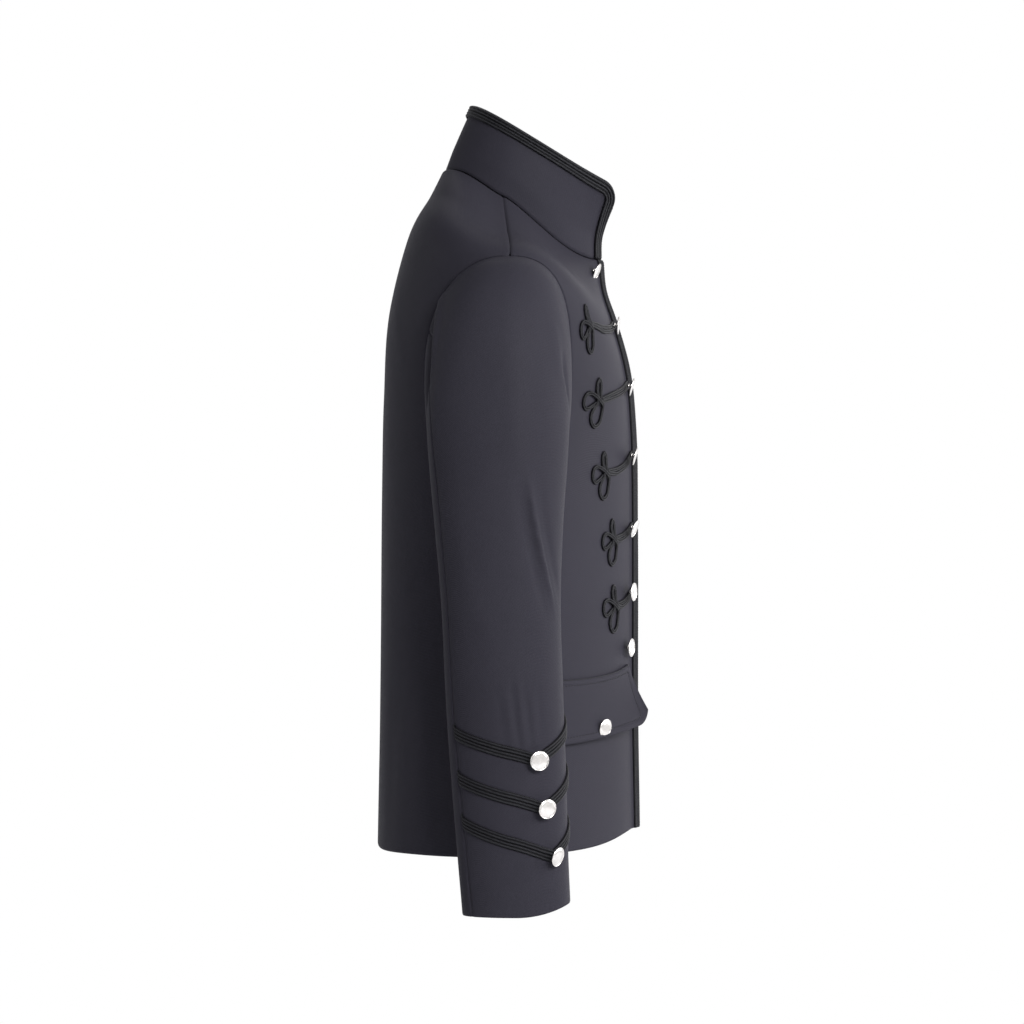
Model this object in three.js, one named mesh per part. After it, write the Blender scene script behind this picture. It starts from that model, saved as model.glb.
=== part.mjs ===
// A military jacket filled out as if it were worn: stand collar, two-piece sleeves, braided front.
// Millimetres, +Z up, the front faces -Y and the wearer's right side is -X.
// The origin lies at the centre of the neck, level with the top of the shoulder seams.
import * as THREE from 'three';

// Cloth, braid and seams
const CLOTH_THICKNESS = 1.8;
const COLLAR_THICKNESS = 2.6;
const FLAP_THICKNESS = 2.4;
const SEAM_GAP = 0.3;
const LAID_GAP = 0.4;
const KNOT_GAP = 0.55;
const FLAP_GAP = 0.7;
const BRAID_WIDTH = 12;
const BRAID_EDGE_HEIGHT = 1.2;
const BRAID_RIDGE_HEIGHT = 2.0;
const BRAID_GROOVE_HEIGHT = 1.3;
const CORD_WIDTH = 5.6;
const CORD_TOP_WIDTH = 4.4;
const CORD_HEIGHT = 1.8;

// Body: one ring per row, "at" is the length down the shoulder and the side seam
const SHOULDER_AT = 164;
const UNDERARM_AT = 375;
const HEM_AT = 745;
const BODY_RINGS = [
  { at: 0, halfWidth: 66, sideY: 9, sideZ: 0, frontY: -89, frontZ: -60, backY: 70.5, backZ: 31,
    frontPower: 1.8, backPower: 2.2, frontDrop: 1.2, backDrop: 1.2, edgeLift: 4 },
  { at: 80, halfWidth: 140, sideY: 5, sideZ: -38, frontY: -91.5, frontZ: -92, backY: 83.5, backZ: 4,
    frontPower: 1.9, backPower: 2.2, frontDrop: 1.6, backDrop: 1.4, edgeLift: 5 },
  { at: 164, halfWidth: 213, sideY: 2, sideZ: -72, frontY: -102, frontZ: -128, backY: 106.5, backZ: -40,
    frontPower: 1.85, backPower: 2.3, frontDrop: 2.4, backDrop: 1.8, edgeLift: 6.5 },
  { at: 232, halfWidth: 205, sideY: 8, sideZ: -140, frontY: -114.5, frontZ: -175, backY: 126.5, backZ: -120,
    frontPower: 1.78, backPower: 2.4, frontDrop: 2, backDrop: 2, edgeLift: 6.5 },
  { at: 307, halfWidth: 193, sideY: 13, sideZ: -215, frontY: -121, frontZ: -228, backY: 131.3, backZ: -205,
    frontPower: 1.62, backPower: 2.4, frontDrop: 2, backDrop: 2, edgeLift: 5 },
  { at: 375, halfWidth: 187, sideY: 15, sideZ: -283, frontY: -123, frontZ: -285, backY: 132.6, backZ: -284,
    frontPower: 1.55, backPower: 2.4, frontDrop: 2, backDrop: 2, edgeLift: 5 },
  { at: 532, halfWidth: 176, sideY: 18, sideZ: -440, frontY: -123.5, frontZ: -440, backY: 134.8, backZ: -440,
    frontPower: 1.5, backPower: 2.4, frontDrop: 2, backDrop: 2, edgeLift: 5 },
  { at: 652, halfWidth: 184, sideY: 20, sideZ: -560, frontY: -124, frontZ: -560, backY: 135.6, backZ: -560,
    frontPower: 1.5, backPower: 2.4, frontDrop: 3, backDrop: 2, edgeLift: 5 },
  { at: 745, halfWidth: 192, sideY: 20, sideZ: -653.5, frontY: -124.5, frontZ: -643, backY: 137.6, backZ: -658,
    frontPower: 1.55, backPower: 2.4, frontDrop: 7, backDrop: 6, edgeLift: 5 },
];
const EDGE_LIFT_WIDTH = 20;
const EDGE_LIFT_POWER = 1.3;

// Armhole: an upright arch with its top at the shoulder point
const ARMHOLE_MID_Y = 13.5;
const ARMHOLE_MID_Z = -177.5;
const ARMHOLE_HALF_DEPTH = 71;
const ARMHOLE_HALF_HEIGHT = 105.5;
const ARMHOLE_POWER = 2.4;
const ARMHOLE_TOP_LEAN = -11.5;
const ARMHOLE_BOTTOM_LEAN = 1.5;
const ARMHOLE_STEP = 15;

// Sleeve: one ring per row through an outer and an inner point, "at" is the length down the sleeve
const CUFF_AT = 652;
const SLEEVE_RINGS = [
  { at: 0, outerX: -213, outerZ: -72, innerX: -187, innerZ: -283, frontY: -57.5, backY: 84.5 },
  { at: 22, outerX: -236, outerZ: -81, innerX: -190.5, innerZ: -289, frontY: -58, backY: 85 },
  { at: 50, outerX: -257, outerZ: -105, innerX: -192, innerZ: -296, frontY: -57.5, backY: 84.5 },
  { at: 95, outerX: -271, outerZ: -150, innerX: -193, innerZ: -308, frontY: -55, backY: 82 },
  { at: 160, outerX: -280, outerZ: -215, innerX: -194, innerZ: -330, frontY: -52.5, backY: 78.5 },
  { at: 240, outerX: -285, outerZ: -295, innerX: -195, innerZ: -365, frontY: -49, backY: 73.5 },
  { at: 340, outerX: -288, outerZ: -395, innerX: -197, innerZ: -425, frontY: -46.8, backY: 67.5 },
  { at: 430, outerX: -290, outerZ: -485, innerX: -201, innerZ: -490, frontY: -48.8, backY: 63.5 },
  { at: 520, outerX: -293, outerZ: -572, innerX: -208, innerZ: -572, frontY: -52, backY: 57.5 },
  { at: 600, outerX: -296, outerZ: -650, innerX: -215, innerZ: -650, frontY: -53.6, backY: 51.5 },
  { at: 652, outerX: -298, outerZ: -698.5, innerX: -220, innerZ: -702, frontY: -55, backY: 47.3 },
];
const SLEEVE_POWER = 2.2;
const CAP_BLEND_LENGTH = 150;
const CUFF_FRONT_RISE = 12;
const CUFF_RISE_LENGTH = 60;
const HIND_SEAM_TURN = -75;
const FRONT_SEAM_TURN = 120;
const HIND_SEAM_SWING = 22;
const SLEEVE_ROWS_AT = [0, 10, 26, 50, 82, 120, 165, 215, 270, 325, 380, 435, 490, 545, 595, 628, 652];

// Collar
const COLLAR_BACK_Y = 39.5;
const COLLAR_BACK_Z = 97.5;
const COLLAR_FRONT_Y = -113.5;
const COLLAR_FRONT_Z = 9.5;
const COLLAR_TOP_SAG = 3;
const COLLAR_FRONT_FLARE = 0.55;
const COLLAR_HALF_WIDTH = 64;
const COLLAR_SIDE_Y = -8;
const COLLAR_POWER = 2.15;
const COLLAR_INSET = 1.5;
const COLLAR_END_X = 26;
const COLLAR_END_BEND = 1.8;
const COLLAR_FRONT_PACE = 1.25;
const COLLAR_FRONT_RUN = 121;
const COLLAR_CORNER_RADIUS = 19;
const COLLAR_HEIGHT = 76;
const COLLAR_ROWS = 5;
const COLLAR_BRAID_EASE = 0.5;

// Front edge, pocket flaps, knots and buttons
const FRONT_EDGE_X = 0.25;
const EDGE_BRAID_START = 0.4;
const FLAP_FRONT_X = 30;
const FLAP_BACK_X = 150;
const FLAP_TOP_Z = -485;
const FLAP_TOP_RISE = 11;
const FLAP_BOTTOM_Z = -549;
const FLAP_BOTTOM_RISE = 16;
const FLAP_CORNER_RADIUS = 13;
const FLAP_CORNER_FLARE = 17;
const FLAP_BOTTOM_FLARE = 2.5;
const FLAP_BUTTON_SHARE = 0.5;
const FLAP_BUTTON_RISE = 10;
const BUTTON_X = 31;
const HUB_RADIUS = CORD_WIDTH / 2 / Math.sin(Math.PI / 8);
const HUB_CROWN = 0.6;
const LANE_SPACING = 6;
const LANE_STEPS = 7;
const LOOP_LENGTH = 24.5;
const LOOP_HALF_WIDTH = 6;
const FRONT_ROWS = [
  { name: 1, buttonZ: -75, yaw: 16, droop: 0 },
  { name: 2, buttonZ: -128, yaw: 9, droop: 5, knotY: -75, knotZ: -136 },
  { name: 3, buttonZ: -189, yaw: 8, droop: 16, knotY: -85, knotZ: -208 },
  { name: 4, buttonZ: -260, yaw: 9, droop: 15, knotY: -92, knotZ: -280 },
  { name: 5, buttonZ: -333, yaw: 20, droop: 20, knotY: -101, knotZ: -347 },
  { name: 6, buttonZ: -400, yaw: 22, droop: 3, knotY: -102.5, knotZ: -414 },
  { name: 7, buttonZ: -457, yaw: 22, droop: 3 },
];

// Cuff braids: a point under the button and two arms that rise to the seams
const CUFF_BRAIDS = [
  { name: 1, pointTurn: 27, pointZ: -552, hindRise: 27, frontRise: 46 },
  { name: 2, pointTurn: 33, pointZ: -597, hindRise: 29, frontRise: 46 },
  { name: 3, pointTurn: 43, pointZ: -642, hindRise: 33, frontRise: 42 },
];

// Finishes
const CLOTH = { color: 0x4a4954, roughness: 0.85, metalness: 0 };
const BRAID = { color: 0x1c1c21, roughness: 0.7, metalness: 0 };
const SILVER = { color: 0xc9c8c6, roughness: 0.22, metalness: 0.95 };

const group = new THREE.Group();
group.name = 'military_jacket';

const radians = (degrees) => degrees * Math.PI / 180;
const mix = (a, b, share) => a + (b - a) * share;
const signedPower = (value, power) => Math.sign(value) * Math.abs(value) ** power;
const roundedEnd = (distance, radius) => {
  if (distance >= radius) return 0;
  return radius - Math.sqrt(radius ** 2 - (radius - distance) ** 2);
};

// Height of a smooth curve through one named column of a table
function tableValue(table, column, at) {
  let row = 0;
  while (row < table.length - 2 && at > table[row + 1].at) row += 1;
  const slopeAt = (index) => {
    const before = table[Math.max(index - 1, 0)];
    const after = table[Math.min(index + 1, table.length - 1)];
    return (after[column] - before[column]) / (after.at - before.at);
  };
  const start = table[row];
  const end = table[row + 1];
  const span = end.at - start.at;
  const t = (at - start.at) / span;
  const startPull = slopeAt(row) * span;
  const endPull = slopeAt(row + 1) * span;
  return start[column] * (2 * t ** 3 - 3 * t ** 2 + 1) + startPull * (t ** 3 - 2 * t ** 2 + t)
    + end[column] * (3 * t ** 2 - 2 * t ** 3) + endPull * (t ** 3 - t ** 2);
}

const bodyValue = (column, at) => tableValue(BODY_RINGS, column, at);
const sleeveValue = (column, at) => tableValue(SLEEVE_RINGS, column, at);

// Outside of the body on the wearer's right: turn 0 is the front centre, 90 the side, 180 the back centre
function bodyPoint(turn, at) {
  const side = turn <= 90 ? 'front' : 'back';
  const power = 2 / bodyValue(`${side}Power`, at);
  const reach = Math.abs(Math.cos(radians(turn))) ** power;
  const x = -bodyValue('halfWidth', at) * signedPower(Math.sin(radians(turn)), power);
  const fall = Math.sin(Math.PI / 2 * reach ** bodyValue(`${side}Drop`, at));
  let y = mix(bodyValue('sideY', at), bodyValue(`${side}Y`, at), reach);
  const z = mix(bodyValue('sideZ', at), bodyValue(`${side}Z`, at), fall);
  if (side === 'front') {
    const near = Math.max(0, 1 - Math.abs(x) / EDGE_LIFT_WIDTH);
    y -= bodyValue('edgeLift', at) * near ** EDGE_LIFT_POWER;
  }
  return new THREE.Vector3(x, y, z);
}

// Turn at which a body ring stands at a given distance from the centre plane, near the front
function frontTurn(x, at) {
  const share = x / bodyValue('halfWidth', at);
  return Math.asin(share ** (bodyValue('frontPower', at) / 2)) * 180 / Math.PI;
}

function solve(low, high, isBelow) {
  let from = low;
  let to = high;
  for (let step = 0; step < 44; step += 1) {
    const middle = (from + to) / 2;
    if (isBelow(middle)) from = middle;
    else to = middle;
  }
  return (from + to) / 2;
}

// Turn and length on the body that show at a given Y and Z from the side
function bodyAddress(y, z) {
  const turnAt = (at) => solve(0, 180, (turn) => bodyPoint(turn, at).y < y);
  const at = solve(0, HEM_AT, (length) => bodyPoint(turnAt(length), length).z > z);
  return { turn: turnAt(at), at };
}

// Point of the armhole seam: turn 0 is the shoulder point, 90 the front, 180 the underarm
function armholeOutline(turn, inset) {
  const across = signedPower(Math.sin(radians(turn)), 2 / ARMHOLE_POWER);
  const up = signedPower(Math.cos(radians(turn)), 2 / ARMHOLE_POWER);
  const lean = up > 0 ? ARMHOLE_TOP_LEAN : ARMHOLE_BOTTOM_LEAN;
  const y = ARMHOLE_MID_Y - (ARMHOLE_HALF_DEPTH - inset) * across + lean * up ** 2;
  const z = ARMHOLE_MID_Z + (ARMHOLE_HALF_HEIGHT - inset) * up;
  return { y, z };
}

const ARMHOLE_ADDRESSES = new Map();
function armholeAddress(turn) {
  if (!ARMHOLE_ADDRESSES.has(turn)) {
    const { y, z } = armholeOutline(turn, 0);
    ARMHOLE_ADDRESSES.set(turn, bodyAddress(y, z));
  }
  return ARMHOLE_ADDRESSES.get(turn);
}

// Sleeve seam point that sits in the armhole, a seam gap inside the panel edges
function capPoint(turn) {
  const address = armholeAddress((turn + 360) % 360);
  const { y, z } = armholeOutline(turn, SEAM_GAP);
  return new THREE.Vector3(bodyPoint(address.turn, address.at).x, y, z);
}

// Plain ring point of the sleeve: turn 0 is the outside, 90 the front, 180 the inside
function sleeveRing(turn, at) {
  const across = signedPower(Math.sin(radians(turn)), 2 / SLEEVE_POWER);
  const out = signedPower(Math.cos(radians(turn)), 2 / SLEEVE_POWER);
  const reach = (out + 1) / 2;
  const rise = Math.max(0, 1 - (CUFF_AT - at) / CUFF_RISE_LENGTH) * CUFF_FRONT_RISE;
  return new THREE.Vector3(
    mix(sleeveValue('innerX', at), sleeveValue('outerX', at), reach),
    mix(sleeveValue('backY', at), sleeveValue('frontY', at), (across + 1) / 2),
    mix(sleeveValue('innerZ', at), sleeveValue('outerZ', at), reach) + rise * Math.max(0, across) ** 2,
  );
}

// Outside of the sleeve, starting exactly on the armhole seam
function sleevePoint(turn, at) {
  const point = sleeveRing(turn, at);
  const hold = Math.max(0, 1 - at / CAP_BLEND_LENGTH) ** 2;
  if (hold > 0) {
    point.addScaledVector(capPoint(turn).sub(sleeveRing(turn, 0)), hold);
  }
  return point;
}

// Turn of a sleeve column: the hind seam swings outward on its way down
function sleeveTurn(base, at) {
  const swing = HIND_SEAM_SWING * at / CUFF_AT;
  if (base <= FRONT_SEAM_TURN) {
    return base + swing * Math.max(0, (30 - base) / (30 - HIND_SEAM_TURN));
  }
  return base + swing * Math.max(0, (base - 180) / (HIND_SEAM_TURN + 360 - 180));
}

// Outward direction of a surface with two measures, from small steps either way
function outwardOf(surface, turn, length, longest) {
  const before = Math.max(length - 1, 0);
  const after = Math.min(length + 1, longest);
  const across = surface(turn + 0.6, length).sub(surface(turn - 0.6, length));
  const down = surface(turn, after).sub(surface(turn, before));
  return across.cross(down).normalize();
}

// A panel is a grid of outside points with the outward direction at each of them
function makePanel(rows, columns, pointAt) {
  const outside = [];
  const normals = [];
  for (let row = 0; row <= rows; row += 1) {
    outside.push([]);
    normals.push([]);
    for (let column = 0; column <= columns; column += 1) {
      const { point, outward } = pointAt(row, column);
      outside[row].push(point);
      normals[row].push(outward);
    }
  }
  return { rows, columns, outside, normals };
}

function panelOfGrid(outside) {
  const panel = { rows: outside.length - 1, columns: outside[0].length - 1, outside };
  panel.normals = outside.map((line, row) => line.map((_, column) => gridNormal(panel, row, column)));
  return panel;
}

function gridNormal(panel, row, column) {
  const { outside, rows, columns } = panel;
  const left = outside[row][Math.max(column - 1, 0)];
  const right = outside[row][Math.min(column + 1, columns)];
  const above = outside[Math.max(row - 1, 0)][column];
  const below = outside[Math.min(row + 1, rows)][column];
  const across = new THREE.Vector3().subVectors(right, left);
  const down = new THREE.Vector3().subVectors(below, above);
  return across.cross(down).normalize();
}

// Point between the panel's own grid points, moved out by a lift
function panelPoint(panel, row, column, lift) {
  const r = Math.min(Math.floor(Math.max(row, 0)), panel.rows - 1);
  const c = Math.min(Math.floor(Math.max(column, 0)), panel.columns - 1);
  const blend = (grid) => {
    const top = grid[r][c].clone().lerp(grid[r][c + 1], column - c);
    const bottom = grid[r + 1][c].clone().lerp(grid[r + 1][c + 1], column - c);
    return top.lerp(bottom, row - r);
  };
  return blend(panel.outside).addScaledVector(blend(panel.normals).normalize(), lift);
}

// Row and column of the panel point whose two measures take the wanted values
function findOnPanel(panel, measure, wanted) {
  let best = { row: 0, column: 0, miss: Infinity };
  for (let row = 0; row <= panel.rows; row += 1) {
    for (let column = 0; column <= panel.columns; column += 1) {
      const got = measure(panel.outside[row][column]);
      const miss = Math.hypot(got[0] - wanted[0], got[1] - wanted[1]);
      if (miss < best.miss) best = { row, column, miss };
    }
  }
  let { row, column } = best;
  const nudge = 0.02;
  const keep = (value, most) => Math.min(Math.max(value, 0), most - nudge);
  for (let step = 0; step < 12; step += 1) {
    row = keep(row, panel.rows);
    column = keep(column, panel.columns);
    const here = measure(panelPoint(panel, row, column, 0));
    const down = measure(panelPoint(panel, row + nudge, column, 0));
    const side = measure(panelPoint(panel, row, column + nudge, 0));
    const a = (down[0] - here[0]) / nudge;
    const b = (side[0] - here[0]) / nudge;
    const c = (down[1] - here[1]) / nudge;
    const d = (side[1] - here[1]) / nudge;
    const e = wanted[0] - here[0];
    const f = wanted[1] - here[1];
    const det = a * d - b * c;
    row += 0.8 * (e * d - b * f) / det;
    column += 0.8 * (a * f - e * c) / det;
  }
  return { row: keep(row, panel.rows), column: keep(column, panel.columns) };
}

// Closed body from vertices and faces, always turned to face outward
function closedBody(points, faces) {
  let volume = 0;
  for (const [a, b, c] of faces) {
    volume += points[a].dot(new THREE.Vector3().crossVectors(points[b], points[c])) / 6;
  }
  const turned = volume < 0 ? faces.map(([a, b, c]) => [a, c, b]) : faces;
  const geometry = new THREE.BufferGeometry();
  geometry.setAttribute('position', new THREE.Float32BufferAttribute(points.flatMap((p) => p.toArray()), 3));
  geometry.setIndex(turned.flat());
  geometry.computeVertexNormals();
  return geometry;
}

function mirrored(geometry) {
  const copy = geometry.clone().scale(-1, 1, 1);
  const index = Array.from(copy.getIndex().array);
  for (let face = 0; face < index.length; face += 3) {
    [index[face], index[face + 1]] = [index[face + 1], index[face]];
  }
  copy.setIndex(index);
  copy.computeVertexNormals();
  return copy;
}

// Cloth sheet: the panel outside, its inside one thickness in, and a rim all round
function sheetBody(outside, inside) {
  const rows = outside.length - 1;
  const columns = outside[0].length - 1;
  const width = columns + 1;
  const count = (rows + 1) * width;
  const points = [...outside.flat(), ...inside.flat()];
  const at = (row, column) => row * width + column;
  const faces = [];
  const quad = (a, b, c, d) => faces.push([a, b, c], [a, c, d]);
  for (let row = 0; row < rows; row += 1) {
    for (let column = 0; column < columns; column += 1) {
      const a = at(row, column);
      const b = at(row, column + 1);
      const c = at(row + 1, column + 1);
      const d = at(row + 1, column);
      quad(a, b, c, d);
      quad(a + count, d + count, c + count, b + count);
    }
  }
  const rim = [];
  for (let column = 0; column < columns; column += 1) rim.push(at(0, column));
  for (let row = 0; row < rows; row += 1) rim.push(at(row, columns));
  for (let column = columns; column > 0; column -= 1) rim.push(at(rows, column));
  for (let row = rows; row > 0; row -= 1) rim.push(at(row, 0));
  rim.forEach((a, step) => {
    const b = rim[(step + 1) % rim.length];
    quad(a, a + count, b + count, b);
  });
  return closedBody(points, faces);
}

function clothBody(panel, thickness) {
  const inside = panel.outside.map((line, row) => line.map((point, column) => (
    point.clone().addScaledVector(panel.normals[row][column], -thickness)
  )));
  return sheetBody(panel.outside, inside);
}

// Strip with the same cross-section points at every station, closed at both ends
function stripBody(stations) {
  const size = stations[0].length;
  const points = stations.flat();
  const faces = [];
  for (let station = 0; station < stations.length - 1; station += 1) {
    for (let side = 0; side < size; side += 1) {
      const a = station * size + side;
      const b = station * size + (side + 1) % size;
      faces.push([a, b, b + size], [a, b + size, a + size]);
    }
  }
  const last = (stations.length - 1) * size;
  for (let side = 1; side < size - 1; side += 1) {
    faces.push([0, side + 1, side], [last, last + side, last + side + 1]);
  }
  return closedBody(points, faces);
}

// Cross-section of the double braid: share of the width and lift above the cloth
const BRAID_SECTION = [
  { share: 0, lift: LAID_GAP },
  { share: 1, lift: LAID_GAP },
  { share: 1, lift: LAID_GAP + BRAID_EDGE_HEIGHT },
  { share: 0.75, lift: LAID_GAP + BRAID_RIDGE_HEIGHT },
  { share: 0.5, lift: LAID_GAP + BRAID_GROOVE_HEIGHT },
  { share: 0.25, lift: LAID_GAP + BRAID_RIDGE_HEIGHT },
  { share: 0, lift: LAID_GAP + BRAID_EDGE_HEIGHT },
];

function addPart(name, geometry, finish) {
  const mesh = new THREE.Mesh(geometry, new THREE.MeshStandardMaterial(finish));
  mesh.name = name;
  group.add(mesh);
}

function addPair(name, geometry, finish) {
  addPart(`${name}_right`, geometry, finish);
  addPart(`${name}_left`, mirrored(geometry), finish);
}

// Rows shared by the front and the back: shoulder, armhole, side
const SHOULDER_STEPS = 4;
const ARMHOLE_STEPS = 180 / ARMHOLE_STEP;
const SIDE_STEPS = 8;
const BODY_ROWS = SHOULDER_STEPS + ARMHOLE_STEPS + SIDE_STEPS;

// Length at the centre line: rows lie closer together where the shoulders curve
const centreAt = (row) => HEM_AT * (row / BODY_ROWS) ** 1.2;

function panelEdge(row, seamTurn, armholeTurn) {
  if (row < SHOULDER_STEPS) {
    return { turn: seamTurn, at: SHOULDER_AT * row / SHOULDER_STEPS };
  }
  if (row <= SHOULDER_STEPS + ARMHOLE_STEPS) {
    const address = armholeAddress(armholeTurn(row - SHOULDER_STEPS));
    const isEnd = row === SHOULDER_STEPS || row === SHOULDER_STEPS + ARMHOLE_STEPS;
    return { turn: isEnd ? seamTurn : address.turn, at: address.at };
  }
  const share = (row - SHOULDER_STEPS - ARMHOLE_STEPS) / SIDE_STEPS;
  return { turn: seamTurn, at: mix(UNDERARM_AT, HEM_AT, share) };
}

// Side and shoulder seams leave half a seam gap on each panel
const FRONT_SEAM = 89.85;
const BACK_SEAM = 90.02;

function makeFront() {
  const nearEdge = [FRONT_EDGE_X, 6.4, 12.8, 20];
  const spread = 8;
  const columns = nearEdge.length - 1 + spread;
  return makePanel(BODY_ROWS, columns, (row, column) => {
    const edge = panelEdge(row, FRONT_SEAM, (step) => step * ARMHOLE_STEP);
    const middleAt = centreAt(row);
    const isNear = column < nearEdge.length;
    const last = nearEdge.length - 1;
    const beyond = Math.max(0, column - last) / spread;
    const at = mix(middleAt, edge.at, mix(0.12 * Math.min(column, last) / last, 1, beyond));
    const nearTurn = frontTurn(nearEdge[Math.min(column, last)], at);
    const turn = isNear ? nearTurn : mix(nearTurn, edge.turn, beyond);
    const outward = outwardOf(bodyPoint, turn, at, HEM_AT);
    if (column === 0) outward.setX(0).normalize();
    return { point: bodyPoint(turn, at), outward };
  });
}

function makeBack() {
  const half = 7;
  return makePanel(BODY_ROWS, half * 2, (row, column) => {
    const edge = panelEdge(row, BACK_SEAM, (step) => 360 - step * ARMHOLE_STEP);
    const share = 1 - Math.abs(column - half) / half;
    const at = mix(edge.at, centreAt(row), share);
    const turn = mix(edge.turn, 180, share);
    const point = bodyPoint(turn, at);
    const outward = outwardOf(bodyPoint, turn, at, HEM_AT);
    if (column > half) {
      point.x *= -1;
      outward.x *= -1;
    }
    return { point, outward };
  });
}

function makeSleeve(from, to) {
  const columns = Math.round((to - from) / ARMHOLE_STEP);
  return makePanel(SLEEVE_ROWS_AT.length - 1, columns, (row, column) => {
    const at = SLEEVE_ROWS_AT[row];
    let turn = sleeveTurn(from + column * ARMHOLE_STEP, at);
    if (column === 0) turn += 0.14;
    if (column === columns) turn -= 0.14;
    return { point: sleevePoint(turn, at), outward: outwardOf(sleevePoint, turn, at, CUFF_AT).negate() };
  });
}

// Collar: rises from the neck seam to its own tilted top edge
function collarPoint(turn, height) {
  const neck = bodyPoint(turn <= 180 ? turn : 360 - turn, 0);
  const shrink = 1 - COLLAR_INSET / BODY_RINGS[0].halfWidth;
  const foot = new THREE.Vector3(neck.x * shrink, neck.y * shrink, neck.z + LAID_GAP);
  const half = Math.min(turn, 360 - turn);
  const isFront = half < 90;
  const reach = isFront
    ? 1 - (half / 90) ** COLLAR_FRONT_PACE
    : Math.abs(Math.cos(radians(half))) ** (2 / COLLAR_POWER);
  const width = isFront
    ? mix(COLLAR_HALF_WIDTH, COLLAR_END_X, reach ** COLLAR_END_BEND)
    : COLLAR_HALF_WIDTH * Math.sin(radians(half)) ** (2 / COLLAR_POWER);
  const y = mix(COLLAR_SIDE_Y, isFront ? COLLAR_FRONT_Y : COLLAR_BACK_Y, reach);
  const forward = (COLLAR_BACK_Y - y) / (COLLAR_BACK_Y - COLLAR_FRONT_Y);
  const z = mix(COLLAR_BACK_Z, COLLAR_FRONT_Z, forward) - COLLAR_TOP_SAG * Math.sin(Math.PI * forward);
  const flare = 1 + (isFront ? COLLAR_FRONT_FLARE * reach : 0);
  const point = new THREE.Vector3(
    mix(foot.x, -width, height),
    mix(foot.y, y, height ** flare),
    mix(foot.z, z, height),
  );
  if (turn > 180) point.x *= -1;
  return point;
}

const COLLAR_EDGE_START = 0.8;
const COLLAR_EDGE_DISTANCES = [0, 3, 7, 12.5, COLLAR_CORNER_RADIUS];
const COLLAR_MIDDLE_COLUMNS = 18;

function makeCollar() {
  const near = COLLAR_EDGE_DISTANCES.length - 1;
  const columns = near * 2 + COLLAR_MIDDLE_COLUMNS;
  const turnOf = (distance) => (
    90 * ((distance + COLLAR_EDGE_START) / COLLAR_FRONT_RUN) ** (1 / COLLAR_FRONT_PACE)
  );
  const widest = COLLAR_EDGE_DISTANCES[near];
  return makePanel(COLLAR_ROWS, columns, (row, column) => {
    const fromEnd = Math.min(column, columns - column);
    const distance = COLLAR_EDGE_DISTANCES[Math.min(fromEnd, near)];
    const share = (column - near) / COLLAR_MIDDLE_COLUMNS;
    let turn = mix(turnOf(widest), 360 - turnOf(widest), share);
    if (fromEnd < near) turn = column < near ? turnOf(distance) : 360 - turnOf(distance);
    const lowered = fromEnd < near ? roundedEnd(distance, COLLAR_CORNER_RADIUS) : 0;
    const height = (1 - row / COLLAR_ROWS) * (1 - lowered / COLLAR_HEIGHT);
    const point = collarPoint(turn, height);
    const fromTop = (angle, depth) => collarPoint(angle, 1 - depth / COLLAR_HEIGHT);
    return { point, outward: outwardOf(fromTop, turn, (1 - height) * COLLAR_HEIGHT, COLLAR_HEIGHT) };
  });
}

// Braid down one front edge
function makeFrontBraid(front) {
  const stations = front.outside.map((line, row) => {
    const columnAt = (distance) => {
      let column = 0;
      while (column < front.columns - 1 && -line[column + 1].x < distance) column += 1;
      const here = -line[column].x;
      const next = -line[column + 1].x;
      return column + (distance - here) / (next - here);
    };
    const trimmed = row === 0 ? 0.03 : row;
    return BRAID_SECTION.map(({ share, lift }) => (
      panelPoint(front, trimmed, columnAt(FRONT_EDGE_X + EDGE_BRAID_START + share * BRAID_WIDTH), lift)
    ));
  });
  return stripBody(stations);
}

// Braid up the collar's front, round its corner, along the top and down the other side
function makeCollarBraid(collar) {
  const inset = 0.4;
  const columnAt = (distance) => {
    let column = 0;
    while (distance > COLLAR_EDGE_DISTANCES[column + 1]) column += 1;
    const here = COLLAR_EDGE_DISTANCES[column];
    return column + (distance - here) / (COLLAR_EDGE_DISTANCES[column + 1] - here);
  };
  const rowAt = (column, depth) => {
    const top = panelPoint(collar, 0, column, 0);
    const foot = panelPoint(collar, collar.rows, column, 0);
    return collar.rows * depth / top.distanceTo(foot);
  };
  const radius = COLLAR_CORNER_RADIUS;
  const place = (distance, depth, lift) => {
    const column = columnAt(distance);
    const lowered = roundedEnd(distance, radius);
    const share = (depth - lowered) / (COLLAR_HEIGHT - lowered);
    return panelPoint(collar, collar.rows * share, column, lift + COLLAR_BRAID_EASE);
  };
  const half = [];
  for (const share of [0.99, 0.8, 0.6, 0.4, 0.32]) {
    half.push(BRAID_SECTION.map((spot) => (
      place(inset + spot.share * BRAID_WIDTH, COLLAR_HEIGHT * share, spot.lift)
    )));
  }
  for (const angle of [0, 22, 45, 68]) {
    half.push(BRAID_SECTION.map((spot) => {
      const reach = radius - inset - spot.share * BRAID_WIDTH;
      const distance = radius - reach * Math.cos(radians(angle));
      return place(distance, radius - reach * Math.sin(radians(angle)), spot.lift);
    }));
  }
  const along = half.slice();
  for (let column = COLLAR_EDGE_DISTANCES.length - 1; column < collar.columns / 2; column += 1) {
    along.push(BRAID_SECTION.map((spot) => (
      panelPoint(collar, rowAt(column, inset + spot.share * BRAID_WIDTH), column, spot.lift + COLLAR_BRAID_EASE)
    )));
  }
  const middleColumn = collar.columns / 2;
  const middle = BRAID_SECTION.map((spot) => {
    const row = rowAt(middleColumn, inset + spot.share * BRAID_WIDTH);
    return panelPoint(collar, row, middleColumn, spot.lift + COLLAR_BRAID_EASE);
  });
  const other = along.map((station) => station.map((p) => new THREE.Vector3(-p.x, p.y, p.z))).reverse();
  return stripBody([...along, middle, ...other]);
}

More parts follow.
